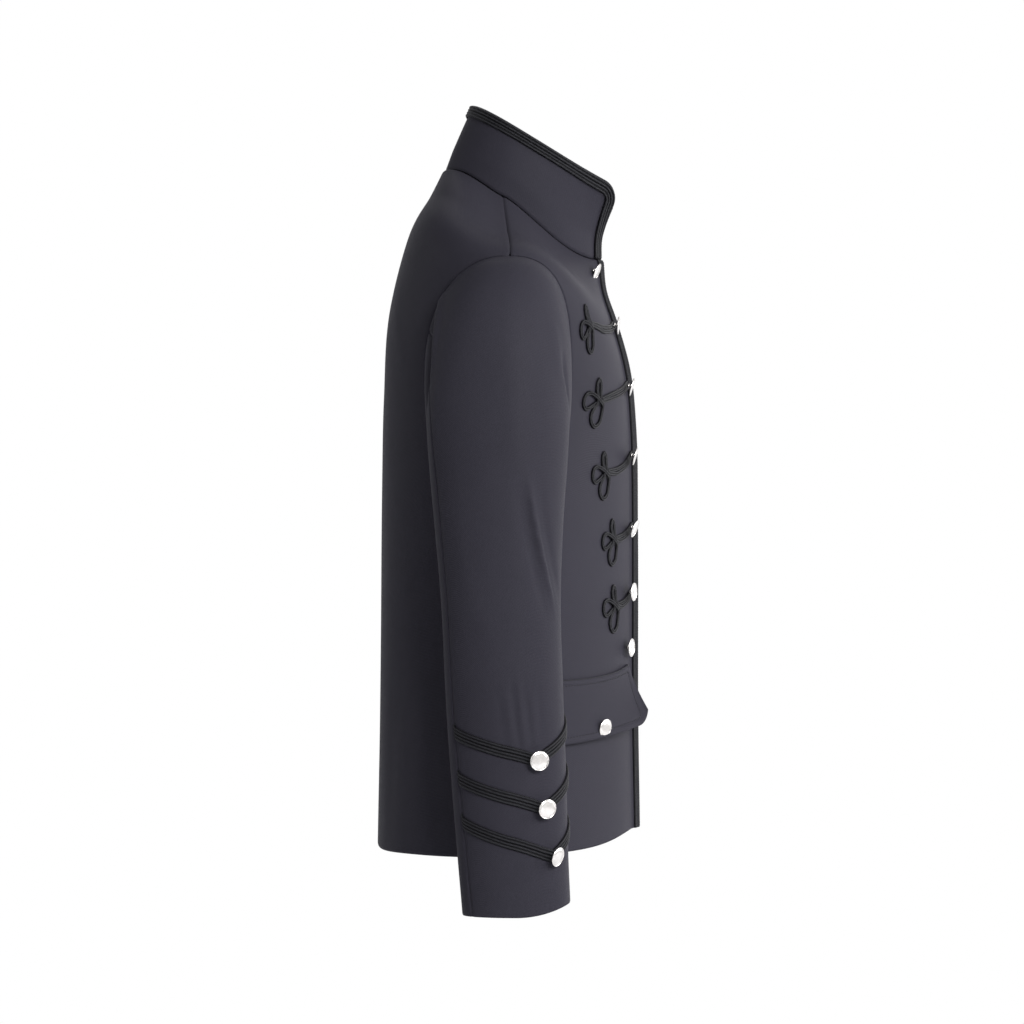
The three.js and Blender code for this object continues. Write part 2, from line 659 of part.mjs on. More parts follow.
// Height on a sleeve panel turned into a row, at a given column
function sleeveRowAt(panel, column, z) {
  return solve(0, panel.rows, (row) => panelPoint(panel, row, column, 0).z > z);
}

function columnOfTurn(panel, turn, z) {
  const at = SLEEVE_ROWS_AT[panel.rows] + (z - SLEEVE_RINGS[SLEEVE_RINGS.length - 1].outerZ) * -1;
  return solve(0, panel.columns, (column) => sleeveTurn(HIND_SEAM_TURN + column * ARMHOLE_STEP, at) < turn);
}

function makeCuffBraid(sleeve, braid) {
  const tip = columnOfTurn(sleeve, braid.pointTurn, braid.pointZ);
  const columns = [0.04];
  for (let column = 1; column < sleeve.columns; column += 1) {
    if (Math.abs(column - tip) > 0.06) columns.push(column);
  }
  columns.push(tip, sleeve.columns - 0.04);
  columns.sort((a, b) => a - b);
  const stations = columns.map((column) => {
    const share = column < tip ? (tip - column) / tip : (column - tip) / (sleeve.columns - tip);
    const rise = share * (column < tip ? braid.hindRise : braid.frontRise);
    return BRAID_SECTION.map((spot) => {
      const z = braid.pointZ + rise + (0.5 - spot.share) * (BRAID_WIDTH + 0.6);
      return panelPoint(sleeve, sleeveRowAt(sleeve, column, z), column, spot.lift);
    });
  });
  return { body: stripBody(stations), tip };
}

// Knot: eight cord ends round a small hub, three loops and the two lanes to the front edge
const CORD_SIDES = [
  { side: -1, lift: KNOT_GAP, width: CORD_WIDTH },
  { side: 1, lift: KNOT_GAP, width: CORD_WIDTH },
  { side: 1, lift: KNOT_GAP + CORD_HEIGHT, width: CORD_TOP_WIDTH },
  { side: -1, lift: KNOT_GAP + CORD_HEIGHT, width: CORD_TOP_WIDTH },
];

function loopPath(direction) {
  const shape = [
    { out: 0.47, across: 0.82 },
    { out: 0.7, across: 1 },
    { out: 0.91, across: 0.72 },
    { out: 1, across: 0 },
  ];
  const back = shape.slice(0, -1).reverse().map(({ out, across }) => ({ out, across: -across }));
  const turned = radians(direction);
  return [...shape, ...back].map(({ out, across }) => {
    const a = out * LOOP_LENGTH;
    const b = -across * LOOP_HALF_WIDTH;
    return new THREE.Vector2(
      a * Math.cos(turned) - b * Math.sin(turned),
      a * Math.sin(turned) + b * Math.cos(turned),
    );
  });
}

function pathStations(path, startDirection, endDirection) {
  return path.map((point, index) => {
    const before = path[index - 1];
    const after = path[index + 1];
    let heading;
    if (before && after) heading = new THREE.Vector2().subVectors(after, before);
    else heading = before ? endDirection.clone() : startDirection.clone();
    heading.normalize();
    return CORD_SIDES.map(({ side, lift, width }) => ({
      u: point.x - heading.y * side * width / 2,
      w: point.y + heading.x * side * width / 2,
      lift,
    }));
  });
}

// Hub corners, bottom ones first
function hubCorner(index) {
  const angle = radians(45 * index);
  return { u: HUB_RADIUS * Math.cos(angle), w: HUB_RADIUS * Math.sin(angle) };
}

function makeKnot(front, row, baseX) {
  const seen = findOnPanel(front, (p) => [p.y, p.z], [row.knotY, row.knotZ]);
  const centre = panelPoint(front, seen.row, seen.column, 0);
  const outward = panelPoint(front, seen.row, seen.column, 1).sub(centre);
  const upright = new THREE.Vector3(0, 0, 1).addScaledVector(outward, -outward.z).normalize();
  const sideways = new THREE.Vector3().crossVectors(outward, upright);
  if (sideways.y < 0) sideways.negate();
  const measure = (point) => {
    const offset = new THREE.Vector3().subVectors(point, centre);
    return [offset.dot(sideways), offset.dot(upright)];
  };
  const place = ({ u, w, lift }) => {
    const spot = findOnPanel(front, measure, [u, w]);
    return panelPoint(front, spot.row, spot.column, lift);
  };
  const baseSpot = findOnPanel(front, (p) => [-p.x, p.z], [baseX, row.buttonZ]);
  const [baseU, baseW] = measure(panelPoint(front, baseSpot.row, baseSpot.column, 0));
  const points = [];
  const faces = [];
  const add = (spot) => points.push(place(spot)) - 1;
  const low = [];
  const high = [];
  for (let index = 0; index < 8; index += 1) {
    low.push(add({ ...hubCorner(index), lift: KNOT_GAP }));
    high.push(add({ ...hubCorner(index), lift: KNOT_GAP + CORD_HEIGHT }));
  }
  const lowMiddle = add({ u: 0, w: 0, lift: KNOT_GAP });
  const highMiddle = add({ u: 0, w: 0, lift: KNOT_GAP + CORD_HEIGHT + HUB_CROWN });
  for (let index = 0; index < 8; index += 1) {
    const next = (index + 1) % 8;
    faces.push([lowMiddle, low[next], low[index]], [highMiddle, high[index], high[next]]);
  }
  // A cord leaves hub side "from" and, for a loop, comes back on hub side "to"
  const hubEnd = (side, isArriving) => {
    const next = (side + 1) % 8;
    const leaving = [low[side], low[next], high[next], high[side]];
    return isArriving ? [low[next], low[side], high[side], high[next]] : leaving;
  };
  const join = (a, b) => {
    for (let side = 0; side < 4; side += 1) {
      const next = (side + 1) % 4;
      faces.push([a[side], a[next], b[next]], [a[side], b[next], b[side]]);
    }
  };
  const sweep = (ring, stations) => stations.reduce((last, station) => {
    const now = station.map(add);
    join(last, now);
    return now;
  }, ring);
  for (const [direction, from] of [[0, 7], [90, 1], [270, 5]]) {
    const path = loopPath(direction);
    const away = path[1].clone().sub(path[0]);
    const home = path[path.length - 1].clone().sub(path[path.length - 2]);
    const last = sweep(hubEnd(from, false), pathStations(path, away, home));
    join(last, hubEnd((from + 1) % 8, true));
  }
  const lead = new THREE.Vector2(baseU, baseW);
  const heading = lead.clone().normalize();
  const aside = new THREE.Vector2(-heading.y, heading.x);
  for (const [from, offset] of [[3, -LANE_SPACING / 2], [4, LANE_SPACING / 2]]) {
    const path = [];
    for (let step = 1; step <= LANE_STEPS; step += 1) {
      const share = mix(0.2, 1, (step - 1) / (LANE_STEPS - 1));
      path.push(lead.clone().multiplyScalar(share).addScaledVector(aside, offset));
    }
    const last = sweep(hubEnd(from, false), pathStations(path, heading, heading));
    faces.push([last[0], last[1], last[2]], [last[0], last[2], last[3]]);
  }
  return closedBody(points, faces);
}

// Shank button: post, underside, raised rim and shallow face
const BUTTON_PROFILE = [
  { radius: 0, height: 0 },
  { radius: 2, height: 0 },
  { radius: 2, height: 2.8 },
  { radius: 10.1, height: 3.8 },
  { radius: 9.6, height: 5.4 },
  { radius: 8.3, height: 4.7 },
  { radius: 0, height: 5.2 },
];
const BUTTON_SEGMENTS = 10;

function makeButton(base, facing, lift) {
  const profile = BUTTON_PROFILE.map(({ radius, height }) => new THREE.Vector2(radius, height));
  const turned = new THREE.LatheGeometry(profile, BUTTON_SEGMENTS);
  const upright = new THREE.Quaternion().setFromUnitVectors(new THREE.Vector3(0, 1, 0), facing);
  turned.applyQuaternion(upright);
  const foot = base.clone().addScaledVector(facing, lift);
  turned.translate(foot.x, foot.y, foot.z);
  turned.deleteAttribute('uv');
  turned.deleteAttribute('normal');
  return turned;
}

const BRAID_TOP = LAID_GAP + BRAID_RIDGE_HEIGHT;

function makeFrontButton(front, row) {
  const spot = findOnPanel(front, (p) => [-p.x, p.z], [BUTTON_X, row.buttonZ]);
  const base = panelPoint(front, spot.row, spot.column, 0);
  const facing = new THREE.Vector3(
    -Math.sin(radians(row.yaw)) * Math.cos(radians(row.droop)),
    -Math.cos(radians(row.yaw)) * Math.cos(radians(row.droop)),
    -Math.sin(radians(row.droop)),
  );
  const carried = row.knotY ? KNOT_GAP + CORD_HEIGHT : 0;
  const slant = 2 * Math.sin(facing.angleTo(panelPoint(front, spot.row, spot.column, 1).sub(base)));
  return makeButton(base, facing, carried + SEAM_GAP + slant + 0.1);
}

// Pocket flap: laid on the front along its top edge, standing away towards its front corner
function makeFlap(front) {
  const length = FLAP_BACK_X - FLAP_FRONT_X;
  const stops = [0, 4, 9, FLAP_CORNER_RADIUS, 28, 44, 60, 76, 92];
  stops.push(...stops.slice(0, 4).map((distance) => length - distance).reverse());
  const rows = 4;
  const outline = (distance) => {
    const share = distance / length;
    const top = FLAP_TOP_Z + FLAP_TOP_RISE * (1 - share) ** 2.5;
    const bottom = FLAP_BOTTOM_Z + FLAP_BOTTOM_RISE * (1 - share) ** 1.5;
    const corner = roundedEnd(Math.min(distance, length - distance), FLAP_CORNER_RADIUS);
    return { top, bottom: bottom + corner, share };
  };
  const place = (row, column, lift) => {
    const { top, bottom, share } = outline(stops[column]);
    const down = row / rows;
    const spot = findOnPanel(front, (p) => [-p.x, p.z], [FLAP_FRONT_X + stops[column], mix(top, bottom, down)]);
    const flare = FLAP_CORNER_FLARE * down ** 1.4 * (1 - share) ** 2 + FLAP_BOTTOM_FLARE * down ** 1.4;
    return panelPoint(front, spot.row, spot.column, FLAP_GAP + flare + lift);
  };
  const grid = (lift) => {
    const lines = [];
    for (let row = 0; row <= rows; row += 1) lines.push(stops.map((_, column) => place(row, column, lift)));
    return lines;
  };
  const outside = grid(FLAP_THICKNESS);
  return { body: sheetBody(outside, grid(0)), panel: panelOfGrid(outside) };
}

function buildJacket() {
  const back = makeBack();
  const front = makeFront();
  const upper = makeSleeve(HIND_SEAM_TURN, FRONT_SEAM_TURN);
  const under = makeSleeve(FRONT_SEAM_TURN, HIND_SEAM_TURN + 360);
  const collar = makeCollar();
  addPart('back', clothBody(back, CLOTH_THICKNESS), CLOTH);
  addPair('front', clothBody(front, CLOTH_THICKNESS), CLOTH);
  addPair('sleeve_upper', clothBody(upper, CLOTH_THICKNESS), CLOTH);
  addPair('sleeve_under', clothBody(under, CLOTH_THICKNESS), CLOTH);
  addPart('collar', clothBody(collar, COLLAR_THICKNESS), CLOTH);
  addPair('braid_front', makeFrontBraid(front), BRAID);
  addPart('braid_collar', makeCollarBraid(collar), BRAID);
  for (const braid of CUFF_BRAIDS) {
    const { body, tip } = makeCuffBraid(upper, braid);
    addPair(`braid_cuff_${braid.name}`, body, BRAID);
    const row = sleeveRowAt(upper, tip, braid.pointZ);
    const base = panelPoint(upper, row, tip, 0);
    const facing = panelPoint(upper, row, tip, 1).sub(base);
    addPair(`button_cuff_${braid.name}`, makeButton(base, facing, BRAID_TOP + SEAM_GAP), SILVER);
  }
  for (const row of FRONT_ROWS) {
    if (row.knotY) addPair(`frog_${row.name}`, makeKnot(front, row, BRAID_WIDTH + 2.2), BRAID);
    addPair(`button_front_${row.name}`, makeFrontButton(front, row), SILVER);
  }
  const flap = makeFlap(front);
  addPair('pocket_flap', flap.body, CLOTH);
  const column = flap.panel.columns * FLAP_BUTTON_SHARE;
  const height = panelPoint(flap.panel, 0, column, 0).distanceTo(panelPoint(flap.panel, 4, column, 0));
  const row = 4 * (1 - FLAP_BUTTON_RISE / height);
  const base = panelPoint(flap.panel, row, column, 0);
  const facing = panelPoint(flap.panel, row, column, 1).sub(base);
  addPair('button_flap', makeButton(base, facing, SEAM_GAP), SILVER);
}

buildJacket();

export default group;
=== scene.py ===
# %% [markdown]
# # A military jacket, filled out as if worn
# The real jacket is sewn from a back, two fronts, two-piece sleeves and a stand collar, then trimmed
# with corded braid, knots and shank buttons. Here every cloth piece is a surface of two parameters,
# because a cut panel is just that: a sheet with one measure across and one down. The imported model
# is loaded first, so each piece can be set exactly where its plain solid stands.

# %% Load the frame
import math

import bmesh
import bpy
import numpy as np
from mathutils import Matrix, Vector


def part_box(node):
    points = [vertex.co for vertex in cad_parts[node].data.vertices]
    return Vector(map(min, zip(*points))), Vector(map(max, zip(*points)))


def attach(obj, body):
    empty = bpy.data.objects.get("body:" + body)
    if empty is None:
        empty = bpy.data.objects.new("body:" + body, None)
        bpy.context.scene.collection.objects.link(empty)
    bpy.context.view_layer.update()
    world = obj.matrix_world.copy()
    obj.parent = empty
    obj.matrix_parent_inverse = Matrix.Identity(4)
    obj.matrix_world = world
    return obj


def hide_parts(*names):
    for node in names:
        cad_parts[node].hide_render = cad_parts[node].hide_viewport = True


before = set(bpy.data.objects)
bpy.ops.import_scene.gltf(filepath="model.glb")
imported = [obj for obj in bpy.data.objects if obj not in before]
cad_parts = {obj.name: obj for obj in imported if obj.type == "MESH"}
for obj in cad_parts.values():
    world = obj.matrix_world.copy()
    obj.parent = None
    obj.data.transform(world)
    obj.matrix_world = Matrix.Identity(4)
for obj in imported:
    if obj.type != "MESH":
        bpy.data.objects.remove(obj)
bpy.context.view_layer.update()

# %% [markdown]
# ## The jacket's own sizes
# All sizes are millimetres and are turned into metres only when a mesh is made. A tailor grades a
# jacket from a table of girths and drops, so the body is a table too: one row for each ring, and a
# smooth curve through every column.

# %% Body table
MM = 0.001
SHOULDER_AT, UNDERARM_AT, HEM_AT, CUFF_AT = 164, 375, 745, 652
BODY_COLUMNS = ("at", "half_width", "side_y", "side_z", "front_y", "front_z", "back_y", "back_z",
                "front_power", "back_power", "front_drop", "back_drop", "edge_lift")
BODY_TABLE = np.array([
    (0, 66, 9, 0, -89, -60, 70.5, 31, 1.8, 2.2, 1.2, 1.2, 4),
    (80, 140, 5, -38, -91.5, -92, 83.5, 4, 1.9, 2.2, 1.6, 1.4, 5),
    (164, 213, 2, -72, -102, -128, 106.5, -40, 1.85, 2.3, 2.4, 1.8, 6.5),
    (232, 205, 8, -140, -114.5, -175, 126.5, -120, 1.78, 2.4, 2, 2, 6.5),
    (307, 193, 13, -215, -121, -228, 131.3, -205, 1.62, 2.4, 2, 2, 5),
    (375, 187, 15, -283, -123, -285, 132.6, -284, 1.55, 2.4, 2, 2, 5),
    (532, 176, 18, -440, -123.5, -440, 134.8, -440, 1.5, 2.4, 2, 2, 5),
    (652, 184, 20, -560, -124, -560, 135.6, -560, 1.5, 2.4, 3, 2, 5),
    (745, 192, 20, -653.5, -124.5, -643, 137.6, -658, 1.55, 2.4, 7, 6, 5),
], float)
EDGE_LIFT_WIDTH, EDGE_LIFT_POWER = 20, 1.3

SLEEVE_COLUMNS = ("at", "outer_x", "outer_z", "inner_x", "inner_z", "front_y", "back_y")
SLEEVE_TABLE = np.array([
    (0, -213, -72, -187, -283, -57.5, 84.5),
    (22, -236, -81, -190.5, -289, -58, 85),
    (50, -257, -105, -192, -296, -57.5, 84.5),
    (95, -271, -150, -193, -308, -55, 82),
    (160, -280, -215, -194, -330, -52.5, 78.5),
    (240, -285, -295, -195, -365, -49, 73.5),
    (340, -288, -395, -197, -425, -46.8, 67.5),
    (430, -290, -485, -201, -490, -48.8, 63.5),
    (520, -293, -572, -208, -572, -52, 57.5),
    (600, -296, -650, -215, -650, -53.6, 51.5),
    (652, -298, -698.5, -220, -702, -55, 47.3),
], float)
SLEEVE_POWER, CAP_BLEND = 2.2, 150
CUFF_FRONT_RISE, CUFF_RISE_LENGTH = 12, 60
HIND_SEAM_TURN, FRONT_SEAM_TURN, HIND_SEAM_SWING = -75, 120, 22
UPPER_STILL_TURN, UNDER_STILL_TURN = 30, 180


def mix(a, b, share):
    """Straight blend: a where share is 0, b where it is 1."""
    return a + (b - a) * share


def signed_power(value, power):
    """The size of a value raised to a power, with the value's own sign kept."""
    return np.sign(value) * np.abs(value) ** power


def table_value(table, columns, name, at):
    """Cubic curve through one column: each row's slope is that of the line through its neighbours."""
    at = np.asarray(at, float)
    x, v = table[:, 0], table[:, columns.index(name)]
    slope = np.empty_like(v)
    slope[1:-1] = (v[2:] - v[:-2]) / (x[2:] - x[:-2])
    slope[0], slope[-1] = (v[1] - v[0]) / (x[1] - x[0]), (v[-1] - v[-2]) / (x[-1] - x[-2])
    row = np.clip(np.searchsorted(x, at, side="left") - 1, 0, len(x) - 2)
    span = x[row + 1] - x[row]
    t = (at - x[row]) / span
    return (v[row] * (2 * t**3 - 3 * t**2 + 1) + slope[row] * span * (t**3 - 2 * t**2 + t)
            + v[row + 1] * (3 * t**2 - 2 * t**3) + slope[row + 1] * span * (t**3 - t**2))


def body_value(name, at):
    """One measure of the body ring at a length down the shoulder and side."""
    return table_value(BODY_TABLE, BODY_COLUMNS, name, at)


def sleeve_value(name, at):
    """One measure of the sleeve ring at a length down the sleeve."""
    return table_value(SLEEVE_TABLE, SLEEVE_COLUMNS, name, at)


print("rings:", len(BODY_TABLE), "body,", len(SLEEVE_TABLE), "sleeve")

# %% [markdown]
# ## Body and sleeve as surfaces
# A worn jacket is nearly an oval tube. A superellipse is used instead of a true ellipse, because one
# number then says how square or how pointed the ring is: the back is squarer and the front comes to
# a soft ridge where the two braided edges meet. The sleeve is the same kind of tube, and it starts a
# seam's gap inside the armhole.

# %% Body surface
def body_point(turn, at):
    """Right half of the body: turn 0 front centre, 90 side, 180 back centre; at is the length down.
    x is the half width times sin^p, y runs from side to front or back with |cos|^p, z follows."""
    turn, at = np.broadcast_arrays(np.asarray(turn, float), np.asarray(at, float))
    angle = np.radians(turn)
    front = turn <= 90

    def facing(measure):
        """A measure of the front on the front half of the ring, and of the back on the other."""
        return np.where(front, body_value("front_" + measure, at), body_value("back_" + measure, at))

    power = 2 / facing("power")
    reach = np.abs(np.cos(angle)) ** power
    fall = np.sin(np.pi / 2 * reach ** facing("drop"))
    x = -body_value("half_width", at) * signed_power(np.sin(angle), power)
    y = mix(body_value("side_y", at), facing("y"), reach)
    z = mix(body_value("side_z", at), facing("z"), fall)
    near = np.clip(1 - np.abs(x) / EDGE_LIFT_WIDTH, 0, None) ** EDGE_LIFT_POWER
    return np.stack([x, y - np.where(front, body_value("edge_lift", at) * near, 0), z], -1)


def front_turn(x, at):
    """Turn at which a ring stands x from the centre plane: the superellipse solved for its angle."""
    return np.degrees(np.arcsin((x / body_value("half_width", at)) ** (body_value("front_power", at) / 2)))


def solve(low, high, is_below, steps=34):
    """Halving search on whole arrays: the value at which is_below stops being true."""
    for _ in range(steps):
        middle = (low + high) / 2
        below = is_below(middle)
        low, high = np.where(below, middle, low), np.where(below, high, middle)
    return (low + high) / 2


# %% [markdown]
# The armhole is drawn where a tailor draws it, flat and from the side, and then looked for on the
# body: for each of its points the turn and the length down are found by halving.

# %% Armhole
ARMHOLE_Y, ARMHOLE_Z, ARMHOLE_HALF_DEPTH, ARMHOLE_HALF_HEIGHT = 13.5, -177.5, 71, 105.5
ARMHOLE_POWER, ARMHOLE_TOP_LEAN, ARMHOLE_LOW_LEAN, SEAM_GAP = 2.4, -11.5, 1.5, 0.3


def armhole_outline(turn, inset=0.0):
    """Upright arch seen from the side: a superellipse that leans forward at the top."""
    angle = np.radians(turn)
    across, up = (signed_power(f(angle), 2 / ARMHOLE_POWER) for f in (np.sin, np.cos))
    lean = np.where(up > 0, ARMHOLE_TOP_LEAN, ARMHOLE_LOW_LEAN)
    y = ARMHOLE_Y - (ARMHOLE_HALF_DEPTH - inset) * across + lean * up**2
    return y, ARMHOLE_Z + (ARMHOLE_HALF_HEIGHT - inset) * up


def find_armhole():
    """Turn and length on the body of each armhole point, from its height and depth."""
    turns = np.arange(0, 361, 1.5)
    y, z = armhole_outline(turns)
    zero, half, full = np.zeros_like(y), np.full_like(y, 180.0), np.full_like(y, float(HEM_AT))
    turn_at = lambda at: solve(zero, half, lambda turn: body_point(turn, at)[..., 1] < y)
    at = solve(zero, full, lambda length: body_point(turn_at(length), length)[..., 2] > z)
    return turns, turn_at(at), at


ARMHOLE_TURNS, ARMHOLE_BODY_TURN, ARMHOLE_BODY_AT = find_armhole()


def armhole_address(turn):
    """Body turn and length at an armhole turn, read between the solved points."""
    turn = np.mod(turn, 360)
    return [np.interp(turn, ARMHOLE_TURNS, solved) for solved in (ARMHOLE_BODY_TURN, ARMHOLE_BODY_AT)]


print("armhole solved at", len(ARMHOLE_TURNS), "points")


# %% Sleeve surface
def cap_point(turn):
    """Sleeve seam point in the armhole, a seam gap inside the panel edges."""
    body_turn, at = armhole_address(turn)
    y, z = armhole_outline(turn, SEAM_GAP)
    return np.stack([body_point(body_turn, at)[..., 0], y, z], -1)


def sleeve_ring(turn, at):
    """Plain sleeve ring between its outer and inner point: turn 0 outside, 90 front, 180 inside."""
    turn, at = np.broadcast_arrays(np.asarray(turn, float), np.asarray(at, float))
    angle = np.radians(turn)
    across, out = (signed_power(f(angle), 2 / SLEEVE_POWER) for f in (np.sin, np.cos))
    reach = (out + 1) / 2
    rise = np.clip(1 - (CUFF_AT - at) / CUFF_RISE_LENGTH, 0, None) * CUFF_FRONT_RISE
    x = mix(sleeve_value("inner_x", at), sleeve_value("outer_x", at), reach)
    y = mix(sleeve_value("back_y", at), sleeve_value("front_y", at), (across + 1) / 2)
    z = mix(sleeve_value("inner_z", at), sleeve_value("outer_z", at), reach)
    return np.stack([x, y, z + rise * np.clip(across, 0, None) ** 2], -1)


def sleeve_point(turn, at):
    """Sleeve surface: the plain ring, pulled onto the armhole at the top and let go over 150 mm."""
    turn, at = np.broadcast_arrays(np.asarray(turn, float), np.asarray(at, float))
    hold = (np.clip(1 - at / CAP_BLEND, 0, None) ** 2)[..., None]
    return sleeve_ring(turn, at) + (cap_point(turn) - sleeve_ring(turn, 0 * at)) * hold


def sleeve_turn(base, at):
    """Turn of a sleeve line: the hind seam swings outwards by 22 degrees on its way down."""
    swing = HIND_SEAM_SWING * at / CUFF_AT
    upper = np.clip((UPPER_STILL_TURN - base) / (UPPER_STILL_TURN - HIND_SEAM_TURN), 0, None)
    under = np.clip((base - UNDER_STILL_TURN) / (HIND_SEAM_TURN + 360 - UNDER_STILL_TURN), 0, None)
    return base + swing * np.where(base <= FRONT_SEAM_TURN, upper, under)


print("cuff from", np.round(sleeve_point(90, CUFF_AT), 1), "to", np.round(sleeve_point(270, CUFF_AT), 1))

# %% [markdown]
# ## Panels
# A panel is a fine grid of points with the direction out of the cloth at each of them. Creases and
# seams are heights along that direction: this keeps them on the form of the solid, and anything
# that is sewn on later can be placed on the creased cloth with the same two grid numbers.

# %% Grid helpers
SEAM_DIP, SEAM_DIP_WIDTH, ROLL_DIP, ROLL_DIP_WIDTH = 0.9, 1.5, 0.45, 0.9
TURN_STEP = 0.6


def unit(vectors):
    """Vectors scaled to length one."""
    return vectors / np.linalg.norm(vectors, axis=-1, keepdims=True)


def outward_of(surface, turn, at, longest):
    """Direction out of a surface: the cross product of a small step across and a small step down."""
    across = surface(turn + TURN_STEP, at) - surface(turn - TURN_STEP, at)
    down = surface(turn, np.clip(at + 1, None, longest)) - surface(turn, np.clip(at - 1, 0, None))
    return unit(np.cross(across, down))


def edged(count, total, start_mm=0.0, end_mm=0.0):
    """Even positions from 0 to total, with extra lines near an end whose unit is that many mm."""
    close = np.array([0.5, 1.1, 1.9, 3.0, 4.5])
    lines = [np.linspace(0, total, count)]
    if start_mm:
        lines.append(close / start_mm)
    if end_mm:
        lines.append(total - close / end_mm)
    merged = np.unique(np.round(np.concatenate(lines), 6))
    keep = np.concatenate([[True], np.diff(merged) > total / count * 0.12])
    keep[-1] = True
    return merged[keep]


def run_length(points, axis):
    """Length walked along one grid direction up to each point."""
    steps = np.linalg.norm(np.diff(points, axis=axis), axis=-1)
    start = np.zeros_like(np.take(steps, [0], axis=axis))
    return np.concatenate([start, np.cumsum(steps, axis=axis)], axis=axis)


def make_panel(points, outward, relief=0.0, seams=(), rolled=()):
    """Panel from a grid: relief in mm is added outwards, and seam and rolled edges sink softly."""
    across, down = run_length(points, 1), run_length(points, 0)
    distance = {"first": across, "last": across[:, -1:] - across, "top": down, "bottom": down[-1:] - down}
    height = np.zeros(points.shape[:2]) + relief
    for edge in seams:
        height = height - SEAM_DIP * np.exp(-((distance[edge] / SEAM_DIP_WIDTH) ** 2))
    for edge in rolled:
        height = height - ROLL_DIP * np.exp(-((distance[edge] / ROLL_DIP_WIDTH) ** 2))
    middle = across[:, across.shape[1] // 2][:, None]
    uv = np.stack([across - middle, -down], -1) * MM
    return {"points": points + outward * height[..., None], "outward": outward, "uv": uv}


def mirrored(panel):
    """The same panel on the wearer's other side."""
    flip = np.array([-1.0, 1.0, 1.0])
    return {"points": panel["points"] * flip, "outward": panel["outward"] * flip, "uv": panel["uv"] * [-1, 1]}


# %% Places on a panel
NEWTON_SHARE, LONGEST_STEP, PROBE = 0.8, 12, 0.5


def place(panel, row, column, lift=0.0):
    """Point between grid points, blended from its four neighbours and moved out by a lift."""
    rows, columns = panel["points"].shape[0] - 1, panel["points"].shape[1] - 1
    row, column = np.broadcast_arrays(np.asarray(row, float), np.asarray(column, float))
    r = np.clip(np.floor(row).astype(int), 0, rows - 1)
    c = np.clip(np.floor(column).astype(int), 0, columns - 1)
    down, across = (row - r)[..., None], (column - c)[..., None]

    def blend(grid):
        """The four grid values round each place, mixed across and then down."""
        above, below = (mix(grid[line, c], grid[line, c + 1], across) for line in (r, r + 1))
        return mix(above, below, down)

    return blend(panel["points"]) + unit(blend(panel["outward"])) * np.asarray(lift, float)[..., None]


def find_on(panel, measure, wanted, steps=16):
    """Rows and columns where two measures of the surface take the wanted values: start at the
    nearest grid point to the middle of them, then Newton steps for all of them at once."""
    wanted = np.asarray(wanted, float)
    middle = wanted.reshape(-1, 2).mean(0)
    miss = np.linalg.norm(measure(panel["points"]) - middle, axis=-1)
    start = np.unravel_index(np.argmin(miss), miss.shape)
    row = np.full(wanted.shape[:-1], float(start[0]))
    column = np.full(wanted.shape[:-1], float(start[1]))
    most = np.array(panel["points"].shape[:2]) - 1.05
    for _ in range(steps):
        row, column = np.clip(row, 0, most[0]), np.clip(column, 0, most[1])
        here = measure(place(panel, row, column))
        down = (measure(place(panel, row + PROBE, column)) - here) / PROBE
        side = (measure(place(panel, row, column + PROBE)) - here) / PROBE
        off = wanted - here
        det = down[..., 0] * side[..., 1] - side[..., 0] * down[..., 1]
        det = np.where(np.abs(det) < 1e-9, 1e-9, det)
        row_step = NEWTON_SHARE * (off[..., 0] * side[..., 1] - side[..., 0] * off[..., 1]) / det
        column_step = NEWTON_SHARE * (down[..., 0] * off[..., 1] - off[..., 0] * down[..., 1]) / det
        row = row + np.clip(row_step, -LONGEST_STEP, LONGEST_STEP)
        column = column + np.clip(column_step, -LONGEST_STEP, LONGEST_STEP)
    return np.clip(row, 0, most[0]), np.clip(column, 0, most[1])


def smooth_step(value):
    """0 below 0, 1 above 1 and a soft S between."""
    t = np.clip(value, 0, 1)
    return t * t * (3 - 2 * t)


# %% [markdown]
# ## Creases
# Heavy satin-faced cloth hangs nearly smooth: only where the arm bends, round the armhole, above the
# cuffs and a little along the body's sides does it fold. Each main crease is one row of a table, a
# curved line with a height and a width. A ridge has a positive height, a trough a negative one. The
# other arm gets its own, slightly different values, because no two sleeves crease alike.

# %% Crease tables
CREASE_COLUMNS = ("turn_1", "at_1", "turn_2", "at_2", "turn_3", "at_3", "height", "width")
SLEEVE_CREASES = np.array([
    (25, 228, 38, 292, 62, 352, 2.7, 3.4),
    (16, 232, 29, 298, 50, 364, -1.5, 6.5),
    (36, 226, 51, 288, 78, 342, -1.3, 7.0),
    (14, 236, 27, 300, 44, 372, -0.7, 9.0),
    (8, 60, 14, 170, 24, 300, 1.2, 16.0),
    (-52, 4, -55, 40, -66, 84, 3.6, 5.0),
    (-66, -6, -71, 44, -84, 92, -15.0, 7.0),
    (-64, 96, -66, 140, -68, 200, 1.2, 10.0),
    (40, 58, 49, 82, 56, 112, 1.7, 9.0),
    (60, 74, 68, 90, 84, 100, -2.4, 4.5),
    (-6, 428, -3, 458, 0, 500, -0.4, 4.2),
    (1, 432, 3, 462, 5, 498, 0.35, 3.8),
    (6, 415, 8, 455, 11, 500, -0.6, 4.0),
    (12, 420, 14, 460, 17, 498, 0.55, 3.8),
    (18, 418, 20, 452, 23, 494, -0.65, 4.0),
    (25, 430, 26, 458, 27, 492, 0.45, 4.0),
    (32, 424, 33, 452, 33, 482, -0.35, 4.5),
    (-40, 250, -30, 330, -6, 392, 0.6, 10.0),
    (150, 270, 168, 330, 200, 372, 1.6, 6.0),
    (140, 300, 162, 356, 196, 404, -1.6, 7.0),
    (215, 250, 230, 340, 228, 420, 0.8, 10.0),
], float)
